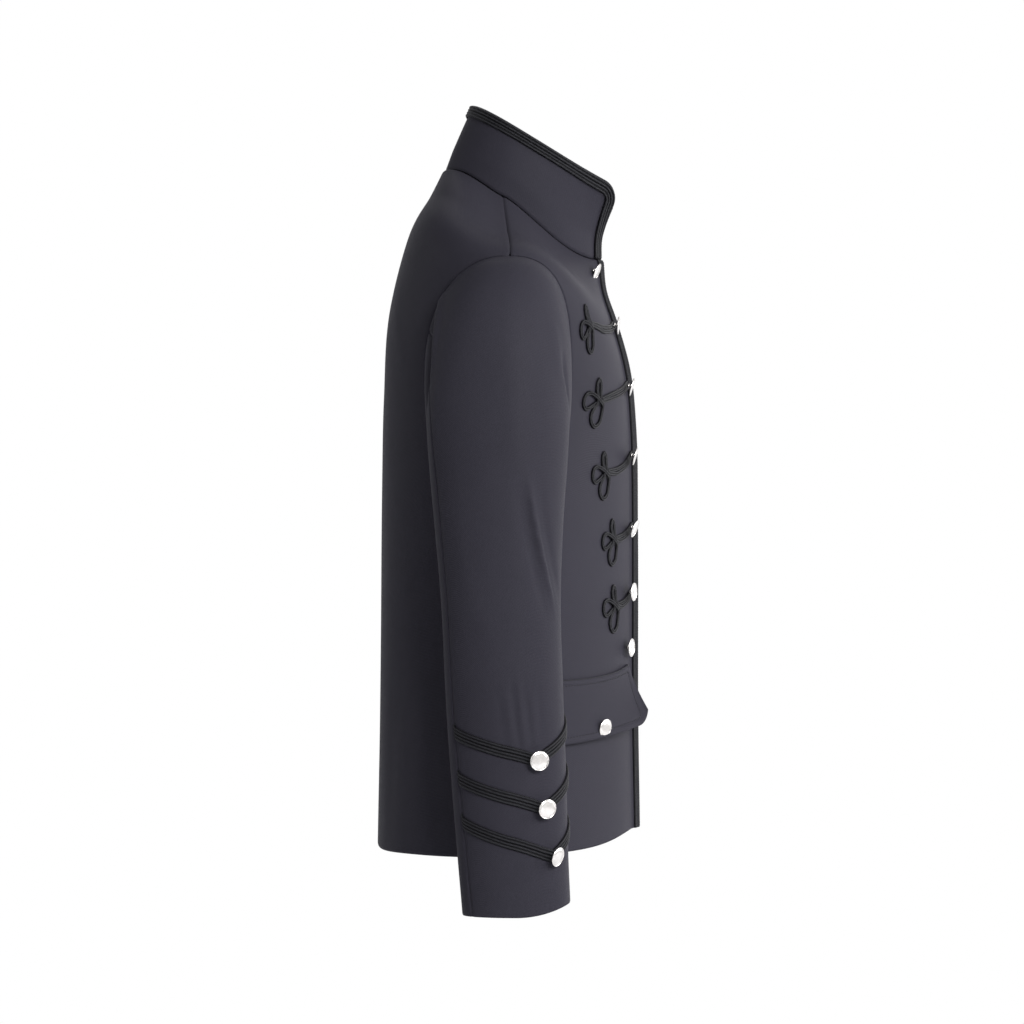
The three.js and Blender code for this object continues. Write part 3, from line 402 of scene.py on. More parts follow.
BODY_CREASES = np.array([
    (88, -300, 74, -318, 58, -352, 0.9, 9.0),
    (90, -330, 78, -352, 62, -380, -0.8, 9.0),
    (96, -310, 112, -340, 128, -392, 1.0, 11.0),
    (98, -345, 116, -372, 136, -410, -0.9, 11.0),
    (118, -470, 122, -560, 120, -660, 1.2, 16.0),
    (140, -480, 146, -570, 148, -660, -1.2, 18.0),
    (160, -90, 150, -130, 138, -180, 0.8, 12.0),
], float)


def crease_height(table, u, v, u_scale, v_scale, seed):
    """Sum of soft lines: height times exp(-(distance to the curve / width)^2), fading at both ends.
    The curve is the parabola through a row's three points, measured at 25 places along it."""
    total = np.zeros(np.broadcast(u, v).shape)
    t = np.linspace(0, 1, 25)
    for number, (u1, v1, u2, v2, u3, v3, height, width) in enumerate(table):
        sway = 1 + 0.22 * math.sin(seed * 5.1 + number * 2.3)
        shift = 4.0 * math.sin(seed * 3.7 + number * 1.9) if seed else 0.0
        line_u = (1 - t) * (1 - 2 * t) * u1 + 4 * t * (1 - t) * u2 + t * (2 * t - 1) * u3
        line_v = (1 - t) * (1 - 2 * t) * v1 + 4 * t * (1 - t) * v2 + t * (2 * t - 1) * v3 + shift
        gap = np.hypot((u[..., None] - line_u) * u_scale, (v[..., None] - line_v) * v_scale)
        nearest = np.argmin(gap, axis=-1)
        distance = np.take_along_axis(gap, nearest[..., None], -1)[..., 0]
        fade = np.sin(np.pi * np.clip(t[nearest], 0.02, 0.98)) ** 0.7
        total = total + height * (sway if seed else 1) * fade * np.exp(-((distance / width) ** 2))
    return total


def slow_waves(points, seed):
    """Slow unevenness of less than a millimetre: the sum of three sine waves of different lengths."""
    x, y, z = points[..., 0], points[..., 1], points[..., 2]
    return (0.34 * np.sin(z / 43 + y / 71 + seed) + 0.26 * np.sin(y / 29 - z / 97 + 1.7 * seed)
            + 0.22 * np.sin(x / 37 + z / 59 + 0.6 * seed))


print("creases:", len(SLEEVE_CREASES), "on a sleeve,", len(BODY_CREASES), "on a body half")

# %% [markdown]
# ## From panel to cloth
# A panel becomes a mesh of four-sided faces, and a Solidify modifier gives it the thickness of the
# cloth inwards, so the outside stays where it was worked out. The lengths walked across and down
# the panel are kept as its UV map, so the weave follows the grain of each cut piece. At a sewn edge a
# strip is turned under its neighbour, as a seam allowance is, so no light shows through the seam.

# %% Mesh helpers
made_triangles = {}


def make_object(name, points, faces, material, uv=None):
    """Object at the origin with its place in its mesh; points in mm, uv one pair per point."""
    mesh = bpy.data.meshes.new(name)
    mesh.from_pydata((points * MM).tolist(), [], faces)
    if uv is not None:
        layer = mesh.uv_layers.new(name="grain")
        loops = np.empty(len(mesh.loops), dtype=np.int32)
        mesh.loops.foreach_get("vertex_index", loops)
        layer.data.foreach_set("uv", uv[loops].astype(np.float32).ravel())
    mesh.polygons.foreach_set("use_smooth", np.full(len(mesh.polygons), True))
    mesh.validate()
    mesh.update()
    mesh.materials.append(material)
    obj = bpy.data.objects.new(name, mesh)
    bpy.context.scene.collection.objects.link(obj)
    made_triangles[name] = sum(len(p.vertices) - 2 for p in mesh.polygons)
    return obj


def grid_faces(rows, columns, closed=False):
    """Corners of every face of a grid; closed joins the last column to the first."""
    r, c = np.meshgrid(np.arange(rows - 1), np.arange(columns if closed else columns - 1), indexing="ij")
    after, above, below = (c + 1) % columns, r * columns, (r + 1) * columns
    return np.stack([above + c, above + after, below + after, below + c], -1).reshape(-1, 4)


def faces_out(points, faces, outward):
    """Turns all faces round together if they point against the outward directions."""
    a, b, c = (points[faces[:, k]] for k in (0, 1, 2))
    agree = np.sum(np.cross(b - a, c - b) * outward[faces[:, 0]])
    return faces if agree > 0 else faces[:, ::-1]


# %% Cloth and strips
TUCK_STEPS = np.array([(0.1, 1.3), (0.5, 2.6), (2.2, 3.3), (4.5, 3.6)])


def tucked(panel, edges):
    """The panel with a strip turned under beyond each named edge: a little on, then inwards."""
    grids = {key: panel[key] for key in ("points", "outward", "uv")}
    for edge in edges:
        axis = 0 if edge in ("top", "bottom") else 1
        outermost, inner = (0, 1) if edge in ("top", "first") else (-1, -2)
        cut = lambda key, index: np.take(grids[key], [index], axis=axis)
        onward = unit(cut("points", outermost) - cut("points", inner))
        inwards = -cut("outward", outermost)
        grain = unit(cut("uv", outermost) - cut("uv", inner)) * MM
        rim = cut("points", outermost)
        more = {"points": [rim + onward * on + inwards * deep for on, deep in TUCK_STEPS],
                "outward": [cut("outward", outermost)] * len(TUCK_STEPS),
                "uv": [cut("uv", outermost) + grain * (on + deep) for on, deep in TUCK_STEPS]}
        for key in grids:
            strip = more[key][::-1] if outermost == 0 else more[key]
            parts = strip + [grids[key]] if outermost == 0 else [grids[key]] + strip
            grids[key] = np.concatenate(parts, axis=axis)
    return grids


def cloth_object(name, panel, thickness, material, tucks=()):
    """Mesh of a panel, its allowances tucked under, with a Solidify wall inwards."""
    panel = tucked(panel, tucks)
    rows, columns = panel["points"].shape[:2]
    points, outward = panel["points"].reshape(-1, 3), panel["outward"].reshape(-1, 3)
    faces = faces_out(points, grid_faces(rows, columns), outward)
    obj = make_object(name, points, faces.tolist(), material, panel["uv"].reshape(-1, 2))
    wall = obj.modifiers.new("wall", "SOLIDIFY")
    wall.thickness = thickness * MM
    wall.offset = -1
    made_triangles[name] = made_triangles[name] * 2 + 4 * (rows + columns)
    return obj


def strip_object(name, stations, material, along, across):
    """Closed strip: the same section at every station, and a flat fan of faces at both ends."""
    count, size = stations.shape[:2]
    points = stations.reshape(-1, 3)
    faces = grid_faces(count, size, closed=True)
    middle = stations.mean(1, keepdims=True)
    faces = faces_out(points, faces, (stations - middle).reshape(-1, 3))
    uv = np.stack(np.broadcast_arrays(along[:, None], across[None, :]), -1).reshape(-1, 2) * MM
    obj = make_object(name, points, faces.tolist(), material, uv)
    close_ends(obj)
    return obj


def close_ends(obj):
    """Fills the open ends of a strip."""
    work = bmesh.new()
    work.from_mesh(obj.data)
    rims = [edge for edge in work.edges if len(edge.link_faces) == 1]
    bmesh.ops.holes_fill(work, edges=rims, sides=0)
    bmesh.ops.recalc_face_normals(work, faces=work.faces)
    work.to_mesh(obj.data)
    work.free()


def dress(obj, slot, *nodes):
    """The piece rides on the body and stands for its solids, which are hidden; the slot is not used."""
    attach(obj, "root")
    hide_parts(*nodes)
    return obj


# %% [markdown]
# ## Finishes
# The cloth is a fine satin weave in dark grey with a touch of violet, and nearly matt. The braid is
# corded silk, close to black, and its ridges are painted lighter in colour than the hollows between
# them, a painted highlight. Both, and the sewing thread too, share one node group, because a weave and
# a braid differ only in how fine, how deep and how ridged their lines are. The group puts out a colour,
# a height and slow patches; the shader itself stays in each material.

# %% Node helpers
def new_group(name, inputs, outputs):
    """Empty node group with named sockets."""
    group = bpy.data.node_groups.new(name, "ShaderNodeTree")
    for label, kind, value in inputs:
        socket = group.interface.new_socket(label, in_out="INPUT", socket_type=kind)
        socket.default_value = value
    for label, kind in outputs:
        group.interface.new_socket(label, in_out="OUTPUT", socket_type=kind)
    return group, group.nodes.new("NodeGroupInput"), group.nodes.new("NodeGroupOutput")


def math_node(tree, operation, first, second=None, third=None):
    """One Math node, with numbers or sockets going in; gives its result socket."""
    node = tree.nodes.new("ShaderNodeMath")
    node.operation = operation
    for index, value in enumerate((first, second, third)):
        if value is None:
            continue
        if isinstance(value, (int, float)):
            node.inputs[index].default_value = value
        else:
            tree.links.new(value, node.inputs[index])
    return node.outputs[0]


def color_mix(tree, factor, first, second):
    """Mix node for colours; each input is a socket or an RGBA tuple."""
    node = tree.nodes.new("ShaderNodeMix")
    node.data_type = "RGBA"
    for index, value in ((0, factor), (6, first), (7, second)):
        if hasattr(value, "links"):
            tree.links.new(value, node.inputs[index])
        else:
            node.inputs[index].default_value = value
    return node.outputs[2]


def sine_node(tree, value, times):
    """Sine of a socket that is multiplied by a number first."""
    return math_node(tree, "SINE", math_node(tree, "MULTIPLY", value, times))


def noise_node(tree, where, scale, detail):
    """Noise at a position socket; gives its value socket."""
    noise = tree.nodes.new("ShaderNodeTexNoise")
    noise.inputs["Scale"].default_value = scale
    noise.inputs["Detail"].default_value = detail
    tree.links.new(where, noise.inputs["Vector"])
    return noise.outputs["Fac"]


def bump_node(tree, shader, height, strength, distance):
    """Bump that tilts the shader's normals by a height socket."""
    bump = tree.nodes.new("ShaderNodeBump")
    bump.inputs["Strength"].default_value = strength
    bump.inputs["Distance"].default_value = distance
    tree.links.new(height, bump.inputs["Height"])
    tree.links.new(bump.outputs["Normal"], shader.inputs["Normal"])


# %% [markdown]
# The threads run slantwise over the grain map, crossed by a weaker set. Fine noise breaks them up,
# and slow noise changes the colour from patch to patch. The ridges of a braid lie side by side, so
# the painted highlight on them follows the map's second measure alone.

# %% Thread group
RIDGE_PITCH = 3.0
CROSS_PACE, CROSS_WEIGHT = 0.37, 0.35


def thread_group():
    """Colour between base and light thread by: thread mark x (slanting sine + noise) + unevenness x
    slow noise + ridge highlight x (squared sine across the ridges - one half), the ridges' painted highlight."""
    group, enter, leave = new_group(
        "threads",
        [("Base", "NodeSocketColor", (0.07, 0.07, 0.09, 1)),
         ("Light thread", "NodeSocketColor", (0.1, 0.1, 0.12, 1)),
         ("Threads per metre", "NodeSocketFloat", 1100.0), ("Slant", "NodeSocketFloat", 1.0),
         ("Unevenness", "NodeSocketFloat", 0.3), ("Thread mark", "NodeSocketFloat", 0.25),
         ("Ridge highlight", "NodeSocketFloat", 0.0)],
        [("Color", "NodeSocketColor"), ("Height", "NodeSocketFloat"), ("Patch", "NodeSocketFloat")])
    links = group.links
    grain = group.nodes.new("ShaderNodeUVMap")
    grain.uv_map = "grain"
    split = group.nodes.new("ShaderNodeSeparateXYZ")
    links.new(grain.outputs[0], split.inputs[0])
    slanted = math_node(group, "MULTIPLY", split.outputs[1], enter.outputs["Slant"])
    along = math_node(group, "ADD", split.outputs[0], slanted)
    turns = math_node(group, "MULTIPLY", along, enter.outputs["Threads per metre"])
    wave = sine_node(group, turns, 2 * math.pi)
    across = math_node(group, "SUBTRACT", split.outputs[1], split.outputs[0])
    cross_turns = math_node(group, "MULTIPLY", across, enter.outputs["Threads per metre"])
    cross_turns = math_node(group, "MULTIPLY", cross_turns, CROSS_PACE)
    cross = sine_node(group, cross_turns, 2 * math.pi)
    line = math_node(group, "MULTIPLY_ADD", cross, CROSS_WEIGHT, wave)
    where = group.nodes.new("ShaderNodeTexCoord").outputs["Object"]
    fine, slow = (noise_node(group, where, scale, 3.0) for scale in (900.0, 9.0))
    fuzz = math_node(group, "SUBTRACT", fine, 0.5)
    height = math_node(group, "MULTIPLY_ADD", fuzz, 2.2, math_node(group, "MULTIPLY", line, 0.5))
    mark = math_node(group, "MULTIPLY_ADD", height, 0.5, 0.5)
    mark = math_node(group, "MULTIPLY", mark, enter.outputs["Thread mark"])
    patch = math_node(group, "SUBTRACT", slow, 0.5)
    factor = math_node(group, "ADD", mark, math_node(group, "MULTIPLY", patch, enter.outputs["Unevenness"]))
    # Painted highlight: the braid's ridges are made lighter in colour than its hollows.
    ridge = sine_node(group, split.outputs[1], math.pi / (RIDGE_PITCH * MM))
    ridge = math_node(group, "SUBTRACT", math_node(group, "MULTIPLY", ridge, ridge), 0.5)
    factor = math_node(group, "MULTIPLY_ADD", ridge, enter.outputs["Ridge highlight"], factor)
    clamp = math_node(group, "MINIMUM", math_node(group, "MAXIMUM", factor, 0.0), 1.0)
    color = color_mix(group, clamp, enter.outputs["Base"], enter.outputs["Light thread"])
    links.new(color, leave.inputs["Color"])
    links.new(height, leave.inputs["Height"])
    links.new(slow, leave.inputs["Patch"])
    return group


THREADS = thread_group()

# %% Cloth, braid and thread
def new_material(name, constants):
    """Material with a Principled shader whose constant values are set on its own sockets."""
    material = bpy.data.materials.new(name)
    material.use_nodes = True
    shader = material.node_tree.nodes["Principled BSDF"]
    for label, value in constants.items():
        shader.inputs[label].default_value = value
    return material, material.node_tree, shader


def woven(name, constants, values, bump_distance, roughness):
    """Woven finish: the thread group gives colour and bump, its slow patches vary the roughness."""
    material, tree, shader = new_material(name, constants)
    threads = tree.nodes.new("ShaderNodeGroup")
    threads.node_tree = THREADS
    for label, value in values.items():
        threads.inputs[label].default_value = value
    tree.links.new(threads.outputs["Color"], shader.inputs["Base Color"])
    least, more = roughness
    rough = math_node(tree, "MULTIPLY_ADD", threads.outputs["Patch"], more, least)
    tree.links.new(rough, shader.inputs["Roughness"])
    bump_node(tree, shader, threads.outputs["Height"], 0.6, bump_distance)
    return material


CLOTH = woven(
    "grey_satin_cloth",
    {"Sheen Weight": 0.010, "Sheen Roughness": 0.3, "Sheen Tint": (0.80, 0.79, 1.0, 1),
     "Specular IOR Level": 0.03},
    {"Base": (0.0255, 0.0243, 0.0324, 1), "Light thread": (0.047, 0.0452, 0.0575, 1),
     "Threads per metre": 900.0, "Slant": 0.6, "Unevenness": 0.35, "Thread mark": 0.5},
    bump_distance=0.00005, roughness=(0.40, 0.14))
# The braid's ridges get a painted highlight: a lighter colour on the ridges than in the hollows.
BRAID = woven(
    "black_corded_braid",
    {"Sheen Weight": 0.01, "Sheen Roughness": 0.4, "Specular IOR Level": 0.12},
    {"Base": (0.0016, 0.0016, 0.0026, 1), "Light thread": (0.036, 0.036, 0.042, 1),
     "Threads per metre": 620.0, "Slant": 1.0, "Unevenness": 0.35, "Thread mark": 0.5, "Ridge highlight": 0.7},
    bump_distance=0.0004, roughness=(0.36, 0.16))
THREAD = woven(
    "sewing_thread",
    {"Sheen Weight": 0.05, "Specular IOR Level": 0.2},
    {"Base": (0.008, 0.008, 0.011, 1), "Light thread": (0.018, 0.018, 0.023, 1),
     "Threads per metre": 2200.0, "Slant": 1.0, "Unevenness": 0.3, "Thread mark": 0.6},
    bump_distance=0.0001, roughness=(0.5, 0.1))

# %% [markdown]
# The buttons are silver plate. Plate that is handled is never an even mirror, so one fine noise makes
# it a little duller, rougher and darker in small patches.

# %% Silver
SILVER_BRIGHT, SILVER_DULL = (0.85, 0.83, 0.81, 1), (0.60, 0.58, 0.56, 1)
HAZE_SCALE, HAZE_ROUGHNESS, LEAST_ROUGHNESS = 260.0, 0.16, 0.06


def silver_material():
    """Polished silver plate: a metal whose roughness and colour follow one haze noise."""
    material, tree, shader = new_material("polished_silver", {"Metallic": 1.0})
    where = tree.nodes.new("ShaderNodeTexCoord").outputs["Object"]
    haze = noise_node(tree, where, HAZE_SCALE, 4.0)
    rough = math_node(tree, "MULTIPLY_ADD", haze, HAZE_ROUGHNESS, LEAST_ROUGHNESS)
    tree.links.new(rough, shader.inputs["Roughness"])
    tree.links.new(color_mix(tree, haze, SILVER_BRIGHT, SILVER_DULL), shader.inputs["Base Color"])
    bump_node(tree, shader, haze, 0.15, 0.0001)
    return material


SILVER = silver_material()
print("finishes:", [m.name for m in (CLOTH, BRAID, THREAD, SILVER)])

# %% [markdown]
# ## Fronts and back
# The front is cut from neck to hem in one piece, with its edge on the centre line. Its grid follows
# the seams: the last column runs down the shoulder, round the armhole and down the side. The back
# is one piece as well, with the same seams, so the two meet with only a seam's gap between.

# %% Seam edges
SHOULDER_STEPS, ARMHOLE_STEPS, SIDE_STEPS, ARMHOLE_STEP = 4, 12, 8, 15
BODY_ROWS = SHOULDER_STEPS + ARMHOLE_STEPS + SIDE_STEPS
NEAR_EDGE = np.array([0.25, 6.4, 12.8, 20.0])
EDGE_STEPS, WIDE_STEPS, BACK_HALF_STEPS = len(NEAR_EDGE) - 1, 8, 7
CLOTH_THICKNESS, COLLAR_THICKNESS, FLAP_THICKNESS = 1.8, 2.6, 2.4


def panel_edge(row, seam_turn, backward):
    """Body address of the seam edge at a row: shoulder seam, then armhole, then side seam."""
    armhole = np.clip(row - SHOULDER_STEPS, 0, ARMHOLE_STEPS) * ARMHOLE_STEP
    turn, at = armhole_address(360 - armhole if backward else armhole)
    is_shoulder, is_side = row <= SHOULDER_STEPS, row >= SHOULDER_STEPS + ARMHOLE_STEPS
    side_at = mix(UNDERARM_AT, HEM_AT, (row - SHOULDER_STEPS - ARMHOLE_STEPS) / SIDE_STEPS)
    at = np.where(is_shoulder, SHOULDER_AT * row / SHOULDER_STEPS, np.where(is_side, side_at, at))
    return np.where(is_shoulder | is_side, seam_turn, turn), at


def centre_at(row):
    """Length at the centre line: the rows lie closer together where the shoulders curve."""
    return HEM_AT * (np.clip(row, 0, None) / BODY_ROWS) ** 1.2


def body_relief(points, turn, seed):
    """Creases of the body plus its slow unevenness."""
    return crease_height(BODY_CREASES, turn, points[..., 2], 2.4, 1.0, seed) + slow_waves(points, seed)


# %% Front and back panels
SEAM_TURN_FRONT, SEAM_TURN_BACK, EDGE_DRIFT = 89.85, 90.02, 0.12
GRID_ROWS, FRONT_GRID_COLUMNS, BACK_GRID_COLUMNS = 126, 78, 104
TOP_STEP_MM, HEM_STEP_MM, SEAM_STEP_MM = 16, 30, 20


def front_panel(seed):
    """Grid of one front; the first columns keep a fixed distance from the edge."""
    rows = edged(GRID_ROWS, BODY_ROWS, TOP_STEP_MM, HEM_STEP_MM)
    columns = edged(FRONT_GRID_COLUMNS, EDGE_STEPS + WIDE_STEPS, 0, SEAM_STEP_MM)
    r, c = rows[:, None], columns[None, :]
    edge_turn, edge_at = panel_edge(r, SEAM_TURN_FRONT, False)
    near, beyond = np.minimum(c, EDGE_STEPS), np.clip(c - EDGE_STEPS, 0, None) / WIDE_STEPS
    at = mix(centre_at(r), edge_at, mix(EDGE_DRIFT * near / EDGE_STEPS, 1, beyond))
    near_turn = front_turn(np.interp(near, np.arange(EDGE_STEPS + 1), NEAR_EDGE), at)
    turn = mix(near_turn, edge_turn, beyond)
    outward = outward_of(body_point, turn, at, HEM_AT)
    outward[:, 0, 0] = 0
    points = body_point(turn, at)
    relief = body_relief(points, turn, seed)
    panel = make_panel(points, unit(outward), relief, ("last", "top"), ("bottom",))
    panel["columns"] = columns
    return panel


def back_panel():
    """Grid of the back, from the right seams over the centre to the left ones."""
    rows = edged(GRID_ROWS, BODY_ROWS, TOP_STEP_MM, HEM_STEP_MM)
    columns = edged(BACK_GRID_COLUMNS, 2 * BACK_HALF_STEPS, SEAM_STEP_MM, SEAM_STEP_MM)
    r, c = rows[:, None], columns[None, :]
    edge_turn, edge_at = panel_edge(r, SEAM_TURN_BACK, True)
    share = 1 - np.abs(c - BACK_HALF_STEPS) / BACK_HALF_STEPS
    at, turn = mix(edge_at, centre_at(r), share), mix(edge_turn, 180, share)
    side_sign = np.where(c > BACK_HALF_STEPS, -1.0, 1.0)[..., None]
    flip = side_sign * np.array([1.0, 0, 0]) + np.array([0, 1.0, 1.0])
    points, outward = body_point(turn, at), outward_of(body_point, turn, at, HEM_AT)
    right, left = body_relief(points, turn, 0.0), body_relief(points, turn, 2.0)
    relief = mix(right, left, smooth_step(np.broadcast_to((c - BACK_HALF_STEPS + 2) / 4, right.shape)))
    return make_panel(points * flip, outward * flip, relief, ("first", "last", "top"), ("bottom",))


front_right = front_panel(0.0)
front_left = mirrored(front_panel(2.0))
back = back_panel()


def sew(name, panel, thickness, tucks=()):
    """The cloth piece of a solid: dressed, and its grid size printed."""
    obj = cloth_object("cloth_" + name, panel, thickness, CLOTH, tucks)
    dress(obj, "cloth", name)
    print(name, panel["points"].shape[:2])


sew("front_right", front_right, CLOTH_THICKNESS)
sew("front_left", front_left, CLOTH_THICKNESS)
sew("back", back, CLOTH_THICKNESS, ("first", "last"))

# %% [markdown]
# ## Sleeves
# A tailored sleeve has two pieces: a wide upper one and a narrow under one, joined by a front seam
# inside the arm and a hind seam that shows as a line down the back of the arm. Both are cut from
# the same tube here, between two turns.

# %% Sleeve panels
SLEEVE_GRID_ROWS, SEAM_INSET_TURN, CREASE_MM_A_DEGREE = 160, 0.14, 1.05
CREASES_FULL_AT, WAVES_FULL_AT = 16, 60


def sleeve_panel(start, end, pace, seed):
    """Grid of one sleeve piece between two seams, from the armhole to the cuff."""
    at = edged(SLEEVE_GRID_ROWS, CUFF_AT, 1.0, 1.0)[:, None]
    base = mix(start, end, edged(int((end - start) / pace), 1.0, end - start, end - start))[None, :]
    inner = np.zeros_like(base)
    inner[:, 0], inner[:, -1] = SEAM_INSET_TURN, -SEAM_INSET_TURN
    turn = sleeve_turn(base, at) + inner
    points = sleeve_point(turn, at)
    outward = -outward_of(sleeve_point, turn, at, CUFF_AT)
    relief = sum(crease_height(SLEEVE_CREASES, turn - full, at + 0 * turn, CREASE_MM_A_DEGREE, 1.0, seed)
                 for full in (0, 360))
    relief = relief * smooth_step(at / CREASES_FULL_AT)
    relief = relief + slow_waves(points, seed + 0.8) * smooth_step(at / WAVES_FULL_AT)
    panel = make_panel(points, outward, relief, ("first", "last", "top"), ("bottom",))
    panel["turn"] = turn
    return panel


SLEEVE_PIECES = (("upper", HIND_SEAM_TURN, FRONT_SEAM_TURN, 1.35, ("top",)),
                 ("under", FRONT_SEAM_TURN, HIND_SEAM_TURN + 360, 2.0, ("top", "first", "last")))
sleeves = {}
for side, seed in (("right", 0.0), ("left", 2.6)):
    for piece, start, end, pace, tucks in SLEEVE_PIECES:
        panel = sleeve_panel(start, end, pace, seed)
        sleeves[piece, side] = panel if side == "right" else mirrored(panel)
        sew("sleeve_" + piece + "_" + side, sleeves[piece, side], CLOTH_THICKNESS, tucks)

# %% [markdown]
# ## Collar
# The stand collar rises from the neck seam to a tilted top edge. Its two ends open forwards, and the
# top corners are rounded: the nearer a column is to the end, the lower it starts.

# %% Collar surface
COLLAR_HEIGHT, COLLAR_CORNER, COLLAR_RUN, COLLAR_PACE = 76, 19, 121, 1.25
COLLAR_HALF_WIDTH, COLLAR_HALF_OPENING, COLLAR_OPENING_POWER, COLLAR_BACK_POWER = 64, 26, 1.8, 2.15
COLLAR_SIDE_Y, COLLAR_FRONT_Y, COLLAR_BACK_Y = -8, -113.5, 39.5
COLLAR_BACK_Z, COLLAR_FRONT_Z, COLLAR_SAG, COLLAR_FLARE = 97.5, 9.5, 3, 0.55
NECK_HALF_WIDTH, NECK_INSET, NECK_LIFT = 66, 1.5, 0.4
COLLAR_DISTANCES = np.array([0, 3, 7, 12.5, 19.0])
COLLAR_COLUMNS, CORNER_COLUMNS = 26, 4


def rounded_end(distance, radius):
    """How far a round corner of that radius has fallen at a distance from the end."""
    inside = np.clip(radius - distance, 0, radius)
    return radius - np.sqrt(radius**2 - inside**2)


def collar_point(turn, height):
    """Blend from the neck ring to the top ring: the sides straight, the front edges flaring late."""
    turn, height = np.broadcast_arrays(np.asarray(turn, float), np.asarray(height, float))
    half = np.minimum(turn, 360 - turn)
    neck = body_point(half, 0 * half)
    shrink = 1 - NECK_INSET / NECK_HALF_WIDTH
    is_front = half < 90
    front_reach = 1 - np.clip(half / 90, 0, 1) ** COLLAR_PACE
    back_reach = np.abs(np.cos(np.radians(half))) ** (2 / COLLAR_BACK_POWER)
    reach = np.where(is_front, front_reach, back_reach)
    front_width = mix(COLLAR_HALF_WIDTH, COLLAR_HALF_OPENING, np.abs(front_reach) ** COLLAR_OPENING_POWER)
    back_width = COLLAR_HALF_WIDTH * np.abs(np.sin(np.radians(half))) ** (2 / COLLAR_BACK_POWER)
    width = np.where(is_front, front_width, back_width)
    y = mix(COLLAR_SIDE_Y, np.where(is_front, COLLAR_FRONT_Y, COLLAR_BACK_Y), reach)
    forward = (COLLAR_BACK_Y - y) / (COLLAR_BACK_Y - COLLAR_FRONT_Y)
    z = mix(COLLAR_BACK_Z, COLLAR_FRONT_Z, forward) - COLLAR_SAG * np.sin(np.pi * forward)
    flare = 1 + np.where(is_front, COLLAR_FLARE * reach, 0)
    x = mix(neck[..., 0] * shrink, -width, height)
    x = np.where(turn > 180, -x, x)
    y = mix(neck[..., 1] * shrink, y, np.abs(height) ** flare)
    return np.stack([x, y, mix(neck[..., 2] + NECK_LIFT, z, height)], -1)


def collar_turn(distance):
    """Turn of a column that stands at a distance from the collar's end."""
    return 90 * ((distance + 0.8) / COLLAR_RUN) ** (1 / COLLAR_PACE)


def collar_address(column):
    """Turn and corner fall of a column number from 0 to 26."""
    from_end = np.minimum(column, COLLAR_COLUMNS - column)
    distance = np.interp(from_end, np.arange(CORNER_COLUMNS + 1), COLLAR_DISTANCES)
    widest, near = collar_turn(COLLAR_CORNER), collar_turn(distance)
    share = (column - CORNER_COLUMNS) / (COLLAR_COLUMNS - 2 * CORNER_COLUMNS)
    turn = np.where(column < CORNER_COLUMNS, near, mix(widest, 360 - widest, share))
    turn = np.where(column > COLLAR_COLUMNS - CORNER_COLUMNS, 360 - near, turn)
    return turn, np.where(from_end < CORNER_COLUMNS, rounded_end(distance, COLLAR_CORNER), 0)


# %% Collar panel
def round_steps(radius, count):
    """Distances from an end at even angles round its corner: they crowd together at the end."""
    return radius * (1 - np.cos(np.linspace(0, np.pi / 2, count)))


def collar_panel():
    """Grid of the collar. A slow wave and a soft hollow towards the front ends shape its cloth."""
    corner = np.interp(round_steps(COLLAR_CORNER, 22), COLLAR_DISTANCES, np.arange(CORNER_COLUMNS + 1))
    straight = np.linspace(CORNER_COLUMNS, COLLAR_COLUMNS - CORNER_COLUMNS, 124)[1:-1]
    column = np.concatenate([corner, straight, COLLAR_COLUMNS - corner[::-1]])[None, :]
    row = edged(40, 1.0, COLLAR_HEIGHT, COLLAR_HEIGHT)[:, None]
    turn, lowered = collar_address(column)
    height = (1 - row) * (1 - lowered / COLLAR_HEIGHT)
    points = collar_point(turn, height)
    from_top = lambda angle, depth: collar_point(angle, 1 - depth / COLLAR_HEIGHT)
    outward = outward_of(from_top, turn + 0 * height, (1 - height) * COLLAR_HEIGHT, COLLAR_HEIGHT)
    wave = 0.5 * np.sin(points[..., 1] / 31 + 1.2) * np.sin(np.pi * np.clip(height, 0, 1))
    hollow = (1.2 - 4.2 * smooth_step((-points[..., 1] - 22) / 62)) * smooth_step(height / 0.35)
    panel = make_panel(points, outward, wave + hollow, ("bottom",), ("top", "first", "last"))
    panel["column"], panel["row"] = column[0], row[:, 0]
    return panel


collar = collar_panel()
sew("collar", collar, COLLAR_THICKNESS, ("bottom",))

# %% [markdown]
# ## Braid
# The edging is two soutache braids side by side, and each of them is two cords under one cover, so
# four fine ridges show. One section with four humps is carried along the edge. The slanting threads
# on each cord are a small wave in the section's height that runs the other way on every second one.

# %% Braid section
BRAID_WIDTH, LAID_GAP, EDGE_MARGIN = 12.0, 0.4, 0.4
HUMP_POWER, BRAID_BASE, BRAID_RISE = 0.6, 0.35, 1.55
TWIST_PITCH, TWIST_RISE = 2.8, 0.13
TOP_SHARES = np.linspace(0, 1, 33)
SECTION_SHARE = np.concatenate([TOP_SHARES, [1, 0]])


def two_braids(share):
    """Height over the width: each half has two humps, and the halves part in a deep middle groove."""
    hump = np.abs(np.sin(4 * np.pi * share)) ** HUMP_POWER
    within = 0.55 * np.exp(-(((share % 0.5 - 0.25) / 0.05) ** 2))
    return BRAID_BASE + BRAID_RISE * np.maximum(hump, within)


def braid_lift(along):
    """Height of the section at each station: the humps, with slanting threads on their tops."""
    lean = np.where(np.floor(TOP_SHARES * 4 - 1e-6) % 2 == 0, 1.0, -1.0)
    phase = 2 * np.pi * (along[:, None] / TWIST_PITCH + lean * TOP_SHARES * 3.2)
    top = two_braids(TOP_SHARES) + TWIST_RISE * np.sin(phase) * np.abs(np.sin(4 * np.pi * TOP_SHARES))
    return LAID_GAP + np.concatenate([top, np.zeros((len(along), 2))], axis=1)


def walked(points):
    """Length walked along a line of points."""
    return np.concatenate([[0], np.cumsum(np.linalg.norm(np.diff(points, axis=0), axis=-1))])


